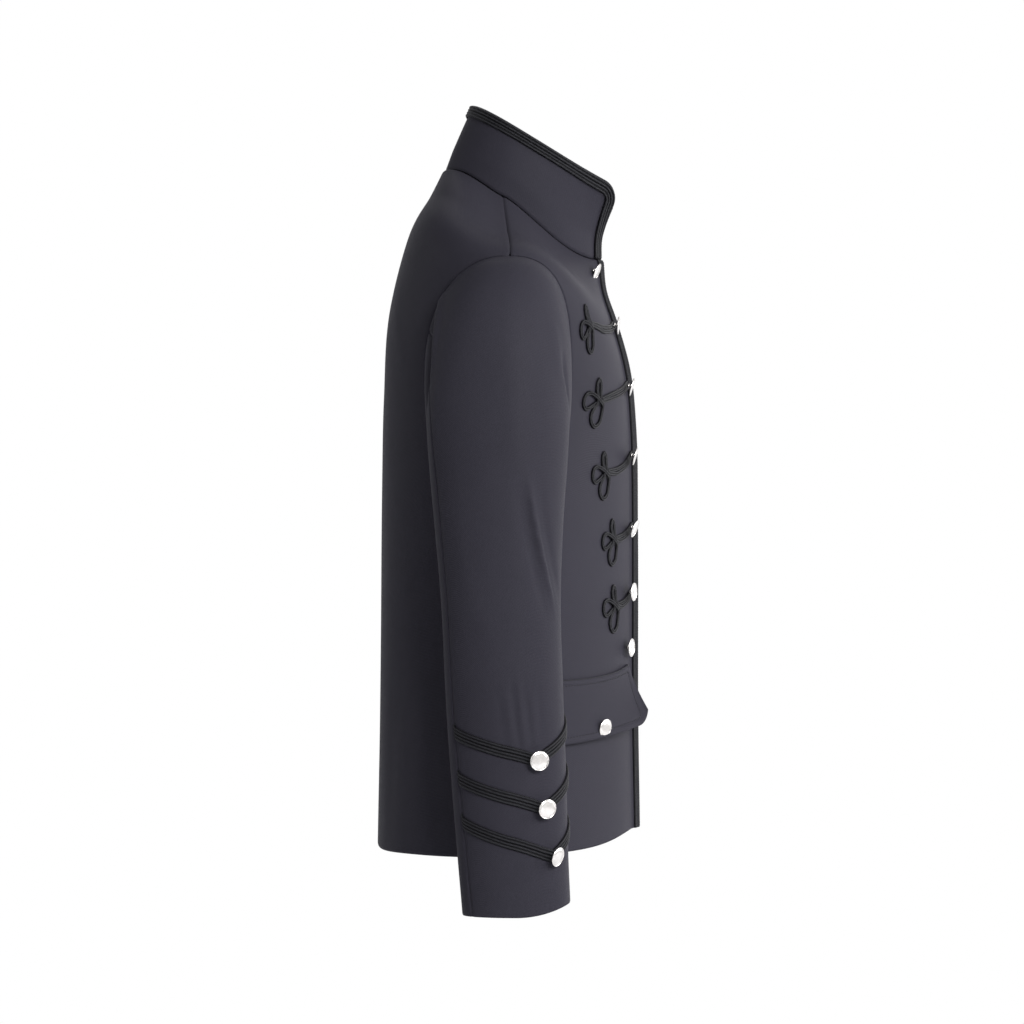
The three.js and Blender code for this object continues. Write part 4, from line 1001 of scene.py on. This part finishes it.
def braid_object(name, spot, node, lift_more=0.0):
    """Braid whose stations and shares are turned into panel rows and columns by spot(share)."""
    panel, row, column = spot(SECTION_SHARE[None, :])
    middle = len(TOP_SHARES) // 2
    along = walked(place(panel, row[:, middle], column[:, middle]))
    stations = place(panel, row, column, braid_lift(along) + lift_more)
    obj = strip_object(name, stations, BRAID, along, SECTION_SHARE * BRAID_WIDTH)
    return dress(obj, "braid", node)


def grid_number(value, lines):
    """Fractional index of a value among the grid's own lines."""
    return np.interp(value, lines, np.arange(len(lines)))


# %% Front braids
def front_braid_spots(panel, columns):
    """Rows and columns of a front braid: it keeps its distance from the front edge."""
    def spot(share):
        row = np.linspace(0.05, panel["points"].shape[0] - 1, 720)[:, None]
        x = NEAR_EDGE[0] + EDGE_MARGIN + share * BRAID_WIDTH
        column = grid_number(grid_number(x, NEAR_EDGE), columns)
        return panel, row + 0 * share, column + 0 * row
    return spot


fronts = {"right": front_right, "left": front_left}
for side, panel in fronts.items():
    name = "braid_front_" + side
    braid_object("corded_" + name, front_braid_spots(panel, front_right["columns"]), name)

# %% [markdown]
# The collar's braid follows three edges. Near the ends its rows are worked out from a collar height
# of 76 mm, and over the rest from the height measured straight across the collar, so that its width
# stays the same where the collar is taller or lower.

# %% Collar braid
def collar_braid_spots(share):
    """Up the collar's end, round its corner, along the top, and the same way down the far side."""
    inset = EDGE_MARGIN + share * BRAID_WIDTH
    tall = np.linalg.norm(collar["points"][0] - collar["points"][-1], axis=-1)
    depth = np.linspace(0.99 * COLLAR_HEIGHT, COLLAR_CORNER, 46)[:-1, None]
    angle = np.radians(np.linspace(0, 90, 26))[:-1, None]
    reach = COLLAR_CORNER - inset
    distance = np.concatenate([inset + 0 * depth, COLLAR_CORNER - reach * np.cos(angle)])
    depth = np.concatenate([depth + 0 * inset, COLLAR_CORNER - reach * np.sin(angle)])
    lowered = rounded_end(distance, COLLAR_CORNER)
    first_column = grid_number(distance, COLLAR_DISTANCES)
    first_row = (depth - lowered) / (COLLAR_HEIGHT - lowered)
    last_straight = COLLAR_COLUMNS - CORNER_COLUMNS
    top_column = np.linspace(CORNER_COLUMNS, last_straight, 230)[:, None] + 0 * inset
    length = np.interp(top_column, collar["column"], tall)
    away = np.minimum(top_column - CORNER_COLUMNS, last_straight - top_column)
    top_row = inset / mix(COLLAR_HEIGHT, length, smooth_step(away / 3))
    column = np.concatenate([first_column, top_column, COLLAR_COLUMNS - first_column[::-1]])
    row = np.concatenate([first_row, top_row, first_row[::-1]])
    return collar, grid_number(row, collar["row"]), grid_number(column, collar["column"])


braid_object("corded_braid_collar", collar_braid_spots, "braid_collar", 0.5)

# %% [markdown]
# The cuff braids are chevrons: each has its point under a button and two arms that climb to the
# seams of the upper sleeve.

# %% Cuff braids
CUFF_COLUMNS = ("point_turn", "point_z", "hind_rise", "front_rise")
CUFF_BRAIDS = np.array([(27, -552, 27, 46), (33, -597, 29, 46), (43, -642, 33, 42)], float)
CUFF_BRAID_EXTRA = 0.6


def row_at_height(panel, column, z):
    """Row at which a panel's column passes a height."""
    low = np.zeros(np.broadcast(column, z).shape)
    high = low + panel["points"].shape[0] - 1.0
    return solve(low, high, lambda row: place(panel, row, column)[..., 2] > z)


cuff_turns = sleeves["upper", "right"]["turn"][-1]
cuff_out = {}
for side in ("right", "left"):
    panel = sleeves["upper", side]
    last = panel["points"].shape[1] - 1
    for number, (point_turn, point_z, hind_rise, front_rise) in enumerate(CUFF_BRAIDS, 1):
        tip = float(grid_number(point_turn, cuff_turns))

        def spot(share, tip=tip, point_z=point_z, hind_rise=hind_rise, front_rise=front_rise):
            """Stations run from the hind seam to the point of the chevron and on to the front seam."""
            hind, fore = np.linspace(0, 1, 84), np.linspace(0, 1, 70)
            column = np.concatenate([mix(0.15, tip, hind), mix(tip, last - 0.15, fore)[1:]])[:, None]
            hind_climb = (tip - column) / tip * hind_rise
            fore_climb = (column - tip) / (last - tip) * front_rise
            climb = np.where(column < tip, hind_climb, fore_climb)
            z = point_z + climb + (0.5 - share) * (BRAID_WIDTH + CUFF_BRAID_EXTRA)
            return panel, row_at_height(panel, column + 0 * share, z), column + 0 * share

        name = "braid_cuff_" + str(number) + "_" + side
        braid_object("corded_" + name, spot, name)
        row = row_at_height(panel, np.array(tip), np.array(point_z))
        cuff_out[number, side] = place(panel, row, tip, 1.0) - place(panel, row, tip, 0.0)
print("braids:", len(fronts) + 1 + len(cuff_out))

# %% [markdown]
# ## Knots
# Each frog is one length of grooved cord. It runs out from under the button, through a knot of three
# loops, and back beside itself. Its path is drawn flat, as a smooth curve through a few named places,
# then laid on the front. Where it crosses itself it goes over and under by turns, as when it is tied.

# %% Frogs
FROG_COLUMNS = ("button_z", "yaw", "droop", "knot_y", "knot_z", "tilt", "reach", "size", "sag")
FRONT_ROWS = {number: dict(zip(FROG_COLUMNS, values)) for number, values in enumerate((
    (-75, 14, 24, None, None, 0, 1, 1, 0),
    (-128, 6, 5, -75, -136, 17, 0.6, 1.0, 0.03),
    (-189, 6, 16, -85, -208, 0, 1.0, 1.0, 0.0),
    (-260, 7, 16, -92, -280, 2, 0.92, 0.97, 0.06),
    (-333, 17, 22, -101, -347, 1, 0.9, 0.94, 0.05),
    (-400, 20, 2, -102.5, -414, 1, 0.9, 0.97, 0.07),
    (-457, 20, 2, None, None, 0, 1, 1, 0),
), 1)}
CORD_WIDTH, CORD_LIFT, LANE_SPACING, CORD_STEP = 4.3, 0.45, 4.3, 1.0
LANE_START_X, LANE_POINTS, LANE_END_SHARE = 14.4, 6, 0.3
KNOT_COLUMNS = ("away", "up", "lift")
KNOT_PATH = np.array([
    (-7.5, 1.9, 0), (-0.8, -0.5, 0), (6.8, -3.9, 0), (15.1, -7.7, 0), (21.2, -9.2, 0), (25.6, -5.8, 0),
    (26.4, -0.5, 0), (23.6, 4.8, 0), (16.4, 6.8, 0.3), (6.8, 3.8, 1.4), (-0.8, -0.5, 2.0), (-7.5, -4.0, 1.4),
    (-10, -8.2, 0.3), (-9, -15, 0), (-6, -22.2, 0), (2.3, -26.4, 0), (9.2, -22.6, 0), (11, -16, 0),
    (8.2, -9.6, 0.3), (3.4, -3.6, 1.0), (2.6, 2.4, 1.0), (5.2, 9.6, 0.3), (5.8, 16.2, 0), (2.4, 20.8, 0),
    (-1.6, 17.2, 0), (-3.0, 10.8, 0), (-3.2, 5.2, 0.5), (-5.8, 0.8, 1.0), (-11, -0.2, 0.3),
], float)


def smooth_path(points, per_span):
    """Catmull-Rom curve: each span leaves and arrives along the line through its neighbours."""
    padded = np.concatenate([[2 * points[0] - points[1]], points, [2 * points[-1] - points[-2]]])
    t = np.linspace(0, 1, per_span, endpoint=False)[None, :, None]
    p0, p1, p2, p3 = (padded[k:len(padded) - 3 + k][:, None, :] for k in range(4))
    square, cube = 2 * p0 - 5 * p1 + 4 * p2 - p3, 3 * p1 - p0 - 3 * p2 + p3
    curve = 0.5 * (2 * p1 + (p2 - p0) * t + square * t**2 + cube * t**3)
    return np.concatenate([curve.reshape(-1, points.shape[1]), points[-1:]])


def even_path(path, step):
    """The same curve with its points an even step apart."""
    along = walked(path[:, :2])
    even = np.linspace(0, along[-1], int(along[-1] / step))
    return np.stack([np.interp(even, along, column) for column in path.T], -1)


def knot_frame(panel, knot_y, knot_z, tilt):
    """Centre and two directions along the cloth at the knot: away from the edge, and upright."""
    row, column = find_on(panel, lambda p: p[..., 1:], np.array([[knot_y, knot_z]]))
    centre = place(panel, row, column)[0]
    outward = place(panel, row, column, 1.0)[0] - centre
    upright = unit(np.array([0, 0, 1.0]) - outward * outward[2])
    sideways = np.cross(outward, upright)
    sideways = sideways if sideways[1] > 0 else -sideways
    lean = math.radians(tilt)
    cosine, sine = math.cos(lean), math.sin(lean)
    return centre, sideways * cosine - upright * sine, upright * cosine + sideways * sine


def cord_section():
    """Section of a soutache cord: two humps over a flat underside, as shares of its width."""
    share = np.linspace(-0.5, 0.5, 13)
    lift = 0.7 + 1.05 * np.abs(np.sin(2 * np.pi * (share + 0.5))) ** 0.6
    lift[[0, -1]] = 0.45
    return np.concatenate([share, [0.5, -0.5]]), np.concatenate([lift, [0, 0]])


def edge_spot(points):
    """Distance from the centre plane, and height."""
    return np.stack([np.abs(points[..., 0]), points[..., 2]], -1)


def frog_path(base, frog):
    """Flat path of a frog, measured from its knot: out along a sagging lane, knot, and back."""
    heading = base / np.linalg.norm(base)
    aside = np.array([-heading[1], heading[0]]) * (LANE_SPACING / 2)
    share = np.linspace(1, LANE_END_SHARE, LANE_POINTS)[:, None]
    lane = base * share - np.array([0, 1.0]) * frog["sag"] * np.linalg.norm(base) * 4 * share * (1 - share)
    flat = np.zeros((LANE_POINTS, 1))
    knot = KNOT_PATH * [frog["size"] * frog["reach"], frog["size"], 1]
    path = np.concatenate([np.hstack([lane - aside, flat]), knot, np.hstack([lane + aside, flat])[::-1]])
    return even_path(smooth_path(path, 14), CORD_STEP)


def frog_object(side, panel, number, frog):
    """One frog: the flat path becomes a cord laid on the front panel."""
    centre, sideways, upright = knot_frame(panel, frog["knot_y"], frog["knot_z"], frog["tilt"])
    measure = lambda p: np.stack([(p - centre) @ sideways, (p - centre) @ upright], -1)
    lane_start = np.array([[LANE_START_X, frog["button_z"]]])
    base = measure(place(panel, *find_on(panel, edge_spot, lane_start)))[0]
    path = frog_path(base, frog)
    tangent = unit(np.gradient(path[:, :2], axis=0))
    normal = np.stack([-tangent[:, 1], tangent[:, 0]], -1)
    share, lift = cord_section()
    spots = path[:, None, :2] + normal[:, None, :] * (share * CORD_WIDTH)[None, :, None]
    row, column = find_on(panel, measure, spots)
    along = np.arange(len(path)) * CORD_STEP
    twist = 0.1 * np.sin(2 * np.pi * (along[:, None] / 2.6 + np.abs(share) * 3)) * (lift > 1)
    stations = place(panel, row, column, CORD_LIFT + lift[None, :] + twist + path[:, 2:])
    name = "frog_" + str(number) + "_" + side
    obj = strip_object("cord_" + name, stations, BRAID, along, share * 2 * RIDGE_PITCH)
    return dress(obj, "braid", name)


frogs = [frog_object(side, panel, number, frog) for side, panel in fronts.items()
         for number, frog in FRONT_ROWS.items() if frog["knot_y"] is not None]
print("frogs:", len(frogs))

# %% [markdown]
# ## Pocket flaps
# Each flap is sewn into the front along its slanting top edge and hangs over the pocket. Its lower
# corners are round, and the front one stands away a little. A line of stitches runs a few millimetres
# inside its edges, so the flap sinks softly along that line and small threads lie in the dip.

# %% Flap panel
FLAP_FRONT_X, FLAP_LENGTH, FLAP_CORNER, STITCH_INSET = 30, 120, 13, 6.5
FLAP_TOP_Z, FLAP_TOP_RISE, FLAP_TOP_POWER = -485, 11, 2.5
FLAP_LOW_Z, FLAP_LOW_RISE, FLAP_LOW_POWER = -549, 16, 1.5
FLAP_GAP, FLAP_DEPTH, CORNER_FLARE, LOW_FLARE, FLARE_POWER = 0.7, 64, 17, 2.5, 1.4
GROOVE_DEPTH, GROOVE_WIDTH, PAD_RISE, PAD_INSET, PAD_WIDTH = 0.45, 1.0, 0.3, 3, 2.2


def flap_low(distance):
    """Height of the lower edge before its corners are rounded off."""
    return FLAP_LOW_Z + FLAP_LOW_RISE * (1 - distance / FLAP_LENGTH) ** FLAP_LOW_POWER


def flap_outline(distance):
    """Top and bottom height of the flap at a distance from its front end."""
    top = FLAP_TOP_Z + FLAP_TOP_RISE * (1 - distance / FLAP_LENGTH) ** FLAP_TOP_POWER
    from_end = np.minimum(distance, FLAP_LENGTH - distance)
    return top, flap_low(distance) + rounded_end(from_end, FLAP_CORNER)


def flap_panel(front):
    """Flap grid laid on the front and lifted towards its lower front corner."""
    corner = round_steps(FLAP_CORNER, 14)
    straight = np.linspace(FLAP_CORNER, FLAP_LENGTH - FLAP_CORNER, 66)[1:-1]
    distance = np.concatenate([corner, straight, FLAP_LENGTH - corner[::-1]])
    down = edged(44, 1.0, FLAP_DEPTH, FLAP_DEPTH)[:, None]
    top, bottom = flap_outline(distance[None, :])
    wanted = [FLAP_FRONT_X + distance[None, :] + 0 * down, mix(top, bottom, down)]
    row, column = find_on(front, edge_spot, np.stack(np.broadcast_arrays(*wanted), -1))
    from_front = 1 - distance[None, :] / FLAP_LENGTH
    flare = CORNER_FLARE * down**FLARE_POWER * from_front**2 + LOW_FLARE * down**FLARE_POWER
    points = place(front, row, column, FLAP_GAP + FLAP_THICKNESS + flare)
    outward = unit(np.cross(np.gradient(points, axis=1), np.gradient(points, axis=0)))
    front_outward = unit(place(front, row, column, 1.0) - place(front, row, column, 0.0))
    outward = outward * np.sign(np.sum(outward * front_outward, -1, keepdims=True))
    side = np.minimum(distance, FLAP_LENGTH - distance)[None, :]
    height = (bottom - top) * (down - 1)
    edge = np.minimum(np.minimum(side + 0 * down, height), -(bottom - top) * down)
    groove = -GROOVE_DEPTH * np.exp(-(((edge - STITCH_INSET) / GROOVE_WIDTH) ** 2))
    padding = PAD_RISE * np.exp(-(((edge - PAD_INSET) / PAD_WIDTH) ** 2))
    panel = make_panel(points, outward, groove + padding, ("top",), ("bottom", "first", "last"))
    panel["distance"], panel["down"] = distance, down[:, 0]
    return panel


flaps = {side: flap_panel(front) for side, front in fronts.items()}
for side, panel in flaps.items():
    sew("pocket_flap_" + side, panel, FLAP_THICKNESS)

# %% [markdown]
# A stitch that shows is a short length of thread pulled down at both ends. One small closed shape is
# worked out and repeated at even steps: round three edges, below the top edge, and more closely along
# the seam itself, where the threads overlap into one dark line that is a seam thread and also painted
# shade in the seam. All the threads of a flap are one mesh.

# %% Flap stitches
STITCH_SIZE = (2.2, 1.05, 0.9)
# Along the top seam the stitches are close enough to overlap into one dark line: a seam thread and painted
# shade in the seam.
STITCH_PACE, SHADED_SEAM_PACE, STITCH_LIFT = 3.1, 1.7, 0.1


def capsule(length, width, thick):
    """Small closed thread: five rings of six points along it, pinched at both ends."""
    along = np.array([-0.5, -0.36, 0, 0.36, 0.5]) * length
    swell = np.array([0.12, 0.85, 1.0, 0.85, 0.12])
    angle = np.arange(6) * np.pi / 3
    ring = np.stack([np.cos(angle) * width / 2, np.sin(angle) * thick / 2], -1)
    sections = (swell[:, None, None] * ring[None]).reshape(-1, 2)
    points = np.concatenate([np.repeat(along, 6)[:, None], sections], -1)
    return points, grid_faces(5, 6, closed=True)


def stitch_row(name, places, headings, ups):
    """Joined threads, one at each place, turned along its heading with its back to the cloth."""
    local, faces = capsule(*STITCH_SIZE)
    axes = np.stack([headings, unit(np.cross(ups, headings)), ups], 1)
    points = places[:, None, :] + np.einsum("pk,nkd->npd", local, axes)
    first_corner = (np.arange(len(places)) * len(local))[:, None, None]
    ends = np.array([[0, 1, 2, 3], [0, 3, 4, 5], [24, 27, 26, 25], [24, 29, 28, 27]])
    walls, ends = ((part[None] + first_corner).reshape(-1, 4) for part in (faces, ends))
    uv = np.tile(local[:, :2] * MM, (len(places), 1))
    all_faces = np.concatenate([walls[:, ::-1], ends]).tolist()
    obj = make_object(name, points.reshape(-1, 3), all_faces, THREAD, uv)
    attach(obj, "root")
    return obj


def stitch_lines():
    """Lines of stitches as distance and height: below the top, round the low edge, up both ends, and
    along the top seam, where the close stitches are a seam thread and also painted shade in the seam."""
    inset, radius = STITCH_INSET, FLAP_CORNER - STITCH_INSET
    distance = np.linspace(inset, FLAP_LENGTH - inset, 400)
    rounded = rounded_end(np.minimum(distance, FLAP_LENGTH - distance) - inset, radius)
    below_top, above_low = flap_outline(distance)[0] - inset * 0.9, flap_low(distance) + inset + rounded
    lines = [np.stack([distance, heights], -1) for heights in (below_top, above_low)]
    for x in (inset, FLAP_LENGTH - inset):
        highest, lowest = flap_outline(np.array([x]))[0][0] - inset * 0.9, flap_low(x) + inset + radius
        lines.append(np.stack([np.full(200, x), np.linspace(highest, lowest, 200)], -1))
    # The close line along the top seam: a seam thread that also stands in for the shade in the seam, as
    # painted shade.
    whole = np.linspace(0.5, FLAP_LENGTH - 0.5, 400)
    return lines + [np.stack([whole, flap_outline(whole)[0] - 0.5], -1)]


def flap_stitches(side, panel):
    """Threads at even steps along every line, laid on the flap."""
    places, headings, ups = [], [], []
    for line, pace in zip(stitch_lines(), [STITCH_PACE] * 4 + [SHADED_SEAM_PACE]):
        at = walked(line)
        even = np.arange(1.5, at[-1] - 1, pace)
        distance, height = (np.interp(even, at, line[:, k]) for k in (0, 1))
        top, bottom = flap_outline(distance)
        down = grid_number((height - top) / (bottom - top), panel["down"])
        column = grid_number(distance, panel["distance"])
        point, above = (place(panel, down, column, STITCH_LIFT + more) for more in (0.0, 1.0))
        places.append(point)
        headings.append(unit(np.gradient(point, axis=0)))
        ups.append(unit(above - point))
    return stitch_row("stitches_flap_" + side, *(np.concatenate(v) for v in (places, headings, ups)))


flap_threads = [flap_stitches(side, panel) for side, panel in flaps.items()]
print("flap stitches:", sum(made_triangles[obj.name] for obj in flap_threads), "triangles")

# %% [markdown]
# ## Buttons
# The shank buttons are turned on a lathe: one outline is carried round the axis. A rolled rim, a
# narrow groove and a low dome make the face. They hang a little on their shanks, each at its own
# angle, just as the row of them does down the front.

# %% Button shape
BUTTON_PROFILE = np.array([
    (0, -0.9), (1.4, -0.7), (2.2, 0.1), (2.3, 0.9), (1.7, 1.7), (1.1, 2.1), (1.1, 2.8), (2.4, 3.1),
    (5.6, 3.2), (8.4, 3.5), (9.1, 3.75), (9.4, 4.1), (9.4, 4.5), (9.2, 4.8), (8.85, 4.95), (8.6, 4.85),
    (8.45, 4.55), (8.2, 4.5), (8.0, 4.75), (7.6, 4.95), (6.5, 5.15), (4.6, 5.32), (2.6, 5.42),
    (1.1, 5.46), (0, 5.47),
], float)
BUTTON_STEPS, BUTTON_HALF_DEPTH = 36, 2.7


def button_object(node, facing, shift=(0, 0, 0)):
    """Outline carried round the facing direction, both poles closed, on the solid button's middle."""
    facing = unit(np.asarray(facing, float))
    low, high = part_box(node)
    middle = (np.array(low) + np.array(high)) / 2 / MM + np.array(shift)
    base = middle - facing * BUTTON_HALF_DEPTH
    side = unit(np.cross([0, 0, 1.0], facing))
    up = np.cross(facing, side)
    angle = np.linspace(0, 2 * np.pi, BUTTON_STEPS, endpoint=False)
    radius, height = BUTTON_PROFILE[1:-1, 0], BUTTON_PROFILE[1:-1, 1]
    spokes = np.cos(angle)[None, :, None] * side + np.sin(angle)[None, :, None] * up
    rings = base + spokes * radius[:, None, None] + facing * height[:, None, None]
    poles = base + facing * BUTTON_PROFILE[[0, -1], 1:]
    points = np.concatenate([rings.reshape(-1, 3), poles])
    count, k = len(radius), np.arange(BUTTON_STEPS)
    after, low_pole = (k + 1) % BUTTON_STEPS, len(points) - 2
    last = (count - 1) * BUTTON_STEPS
    caps = [np.stack([after, k, np.full_like(k, low_pole)], -1),
            np.stack([last + k, last + after, np.full_like(k, low_pole + 1)], -1)]
    faces = grid_faces(count, BUTTON_STEPS, closed=True).tolist() + caps[0].tolist() + caps[1].tolist()
    obj = make_object("silver_" + node, points, faces, SILVER)
    turn_faces_out(obj, middle)
    return dress(obj, "silver", node)


def turn_faces_out(obj, middle):
    """Turns the whole mesh round if its enclosed volume comes out negative."""
    mesh = obj.data
    mesh.calc_loop_triangles()
    corners = np.array([v.co for v in mesh.vertices])
    tris = np.array([t.vertices for t in mesh.loop_triangles])
    a, b, c = (corners[tris[:, k]] - middle * MM for k in range(3))
    if np.sum(a * np.cross(b, c)) < 0:
        mesh.flip_normals()


# %% Buttons
CUFF_LEANS = {1: (0, 0.0, -0.14), 2: (0, -0.1, -0.2), 3: (0, -0.62, -0.42)}
TOP_BUTTON_SHIFT, FLAP_BUTTON_SHIFT = (0, 3.2, 1.0), (-1.5, 6, -2)
FLAP_BUTTON_DROOP, FLAP_BUTTON_DOWN = 0.34, 0.8
buttons = []
for side, sign in (("right", 1.0), ("left", -1.0)):
    for number, front_row in FRONT_ROWS.items():
        yaw, droop = math.radians(front_row["yaw"]), math.radians(front_row["droop"])
        level = math.cos(droop)
        facing = (-sign * math.sin(yaw) * level, -math.cos(yaw) * level, -math.sin(droop))
        shift = TOP_BUTTON_SHIFT if number == 1 else (0, 0, 0)
        buttons.append(button_object("button_front_" + str(number) + "_" + side, facing, shift))
    for number, lean in CUFF_LEANS.items():
        facing = unit(cuff_out[number, side]) + np.array(lean)
        buttons.append(button_object("button_cuff_" + str(number) + "_" + side, facing))
    flap = flaps[side]
    middle, low = len(flap["distance"]) / 2, flap["points"].shape[0] * FLAP_BUTTON_DOWN
    out = place(flap, low, middle, 1.0) - place(flap, low, middle)
    shift = np.array(FLAP_BUTTON_SHIFT) * [sign, 1, 1]
    buttons.append(button_object("button_flap_" + side, out - np.array([0, 0, FLAP_BUTTON_DROOP]), shift))
print("buttons:", len(buttons))

# %% [markdown]
# ## What each sheet was cut to
# Each cloth piece is cut from a rectangle and has its own flat area. Both are measured here on the
# worked-out panel and printed: the walked length across and down, and the sum of the grid's faces. A
# centimetre more is allowed on both measures of the rectangle.

CUT_MARGIN = 0.01


def flat_size(panel):
    """Widest walked length across, longest down, and the area of the grid in square metres."""
    points = panel["points"] * MM
    across, down = run_length(points, 1)[:, -1].max(), run_length(points, 0)[-1].max()
    a, b = points[1:, 1:] - points[:-1, :-1], points[1:, :-1] - points[:-1, 1:]
    return across, down, np.linalg.norm(np.cross(a, b), axis=-1).sum() / 2


sheets = {"front_right": front_right, "front_left": front_left, "back": back, "collar": collar,
          "pocket_flap_right": flaps["right"], "pocket_flap_left": flaps["left"]}
sheets.update({"sleeve_" + piece + "_" + side: panel for (piece, side), panel in sleeves.items()})
for name, panel in sheets.items():
    across, down, area = flat_size(panel)
    width, length = round(across + CUT_MARGIN, 3), round(down + CUT_MARGIN, 3)
    area = round(min(area, width * length), 4)
    print(name, "cut", width, "x", length, "area", area)

# %% [markdown]
# ## Floor, light and camera
# The picture is taken level with the chest, straight at the wearer's right side, from a little over
# three metres, so near things are hardly larger than far ones. The light comes from the front, as in
# the photograph: the chest is bright and the back falls away into shade. The background is white for
# the camera alone. What the cloth and the buttons mirror is a room that is bright in front and dim
# behind, because dark cloth seen at a slant shows mostly what it mirrors.

# %% Floor
FLOOR_HALF, FLOOR_Z = 2.0, -1.25
scene = bpy.context.scene
floor_mesh = bpy.data.meshes.new("floor")
floor_corners = [(x * FLOOR_HALF, y * FLOOR_HALF, FLOOR_Z) for x, y in ((-1, -1), (1, -1), (1, 1), (-1, 1))]
floor_mesh.from_pydata(floor_corners, [], [(0, 1, 2, 3)])
floor = bpy.data.objects.new("floor", floor_mesh)
scene.collection.objects.link(floor)
floor_finish = new_material("pale_floor", {"Base Color": (0.86, 0.86, 0.87, 1), "Roughness": 0.8})
floor_mesh.materials.append(floor_finish[0])

# %% Room light
world = bpy.data.worlds.new("studio")
scene.world = world
world.use_nodes = True
sky = world.node_tree
for node in list(sky.nodes):
    sky.nodes.remove(node)
rays, leave = sky.nodes.new("ShaderNodeLightPath"), sky.nodes.new("ShaderNodeOutputWorld")


def glow(strength, color):
    """Even light from all round."""
    node = sky.nodes.new("ShaderNodeBackground")
    node.inputs["Color"].default_value = color
    node.inputs["Strength"].default_value = strength
    return node.outputs[0]


def either(mask, when_off, when_on):
    """One light for the rays that a mask names, and another for the rest."""
    node = sky.nodes.new("ShaderNodeMixShader")
    for socket, value in zip(node.inputs, (mask, when_off, when_on)):
        sky.links.new(value, socket)
    return node.outputs[0]


room, backdrop = glow(0.19, (0.95, 0.95, 1.0, 1)), glow(1.0, (1, 1, 1, 1))
bright_side, dim_side = glow(1.04, (0.99, 0.98, 0.985, 1)), glow(0.38, (0.95, 0.95, 1.0, 1))
towards, split = sky.nodes.new("ShaderNodeTexCoord"), sky.nodes.new("ShaderNodeSeparateXYZ")
sky.links.new(towards.outputs["Generated"], split.inputs[0])
behind = sky.nodes.new("ShaderNodeMapRange")
behind.interpolation_type = "SMOOTHSTEP"
behind.inputs["From Max"].default_value = 0.4
sky.links.new(split.outputs[1], behind.inputs["Value"])
mirrored_room = either(behind.outputs["Result"], bright_side, dim_side)
lit = either(rays.outputs["Is Glossy Ray"], room, mirrored_room)
sky.links.new(either(rays.outputs["Is Camera Ray"], lit, backdrop), leave.inputs["Surface"])
print("room light:", len(sky.nodes), "nodes")

# %% [markdown]
# Large soft lights stand for the studio's lamps. The far one lights the left side, and is hidden from
# mirrored rays, so that the chest doesn't catch it at a slant. The narrow strip is the opposite: it
# shows only as a mirrored line of light along the front edge.

# %% Lamps
def add_softbox(name, location, target, size, watts, color=(1, 1, 1)):
    """Rectangular area light that faces a target point and is hidden from the camera."""
    light = bpy.data.lights.new(name, "AREA")
    light.shape = "RECTANGLE"
    light.size, light.size_y = size
    light.energy = watts
    light.color = color
    obj = bpy.data.objects.new(name, light)
    obj.location = location
    obj.rotation_mode = "QUATERNION"
    obj.rotation_quaternion = (Vector(target) - Vector(location)).to_track_quat("-Z", "Y")
    obj.visible_camera = False
    scene.collection.objects.link(obj)
    return obj


add_softbox("key_from_front", (-0.7, -2.6, 0.6), (0, 0, -0.3), (1.3, 1.8), 42)
add_softbox("front_fill", (0.7, -2.6, -0.2), (0, 0, -0.3), (1.6, 1.6), 20)
add_softbox("side_fill", (-2.7, -1.3, 0.8), (0, 0, -0.35), (1.5, 1.2), 88)
add_softbox("back_edge", (-2.2, 2.0, 0.3), (0, 0, -0.35), (1.2, 1.8), 7)
add_softbox("back_fill", (0.9, 2.6, 0.5), (0, 0, -0.3), (1.6, 1.6), 8)
far_side_fill = add_softbox("far_side_fill", (2.8, -0.9, 0.7), (0, 0, -0.35), (1.5, 1.2), 45)
far_side_fill.visible_glossy = False
edge_strip = add_softbox("edge_strip", (1.71, -1.46, -0.5), (0, -0.12, -0.43), (0.42, 1.0), 1.4,
                         (0.92, 0.92, 1.0))
edge_strip.visible_diffuse = False
scene.view_settings.view_transform = "Standard"

# %% Camera
CAMERA_DISTANCE, CAMERA_Z, MM_PER_PIXEL, PICTURE_PIXELS, SENSOR_WIDTH = 3.2, -0.319, 1.03, 1024, 36
camera_data = bpy.data.cameras.new("camera")
camera_data.sensor_width = SENSOR_WIDTH
camera_data.lens = SENSOR_WIDTH * (CAMERA_DISTANCE / (MM_PER_PIXEL * MM)) / PICTURE_PIXELS
camera = bpy.data.objects.new("camera", camera_data)
camera.location = (-CAMERA_DISTANCE, 0, CAMERA_Z)
camera.rotation_mode = "QUATERNION"
camera.rotation_quaternion = Vector((1, 0, 0)).to_track_quat("-Z", "Y")
scene.collection.objects.link(camera)
scene.camera = camera
print("camera at", tuple(camera.location), "lens", round(camera_data.lens, 1))

# %% Triangles added
print("triangles added", sum(made_triangles.values()))
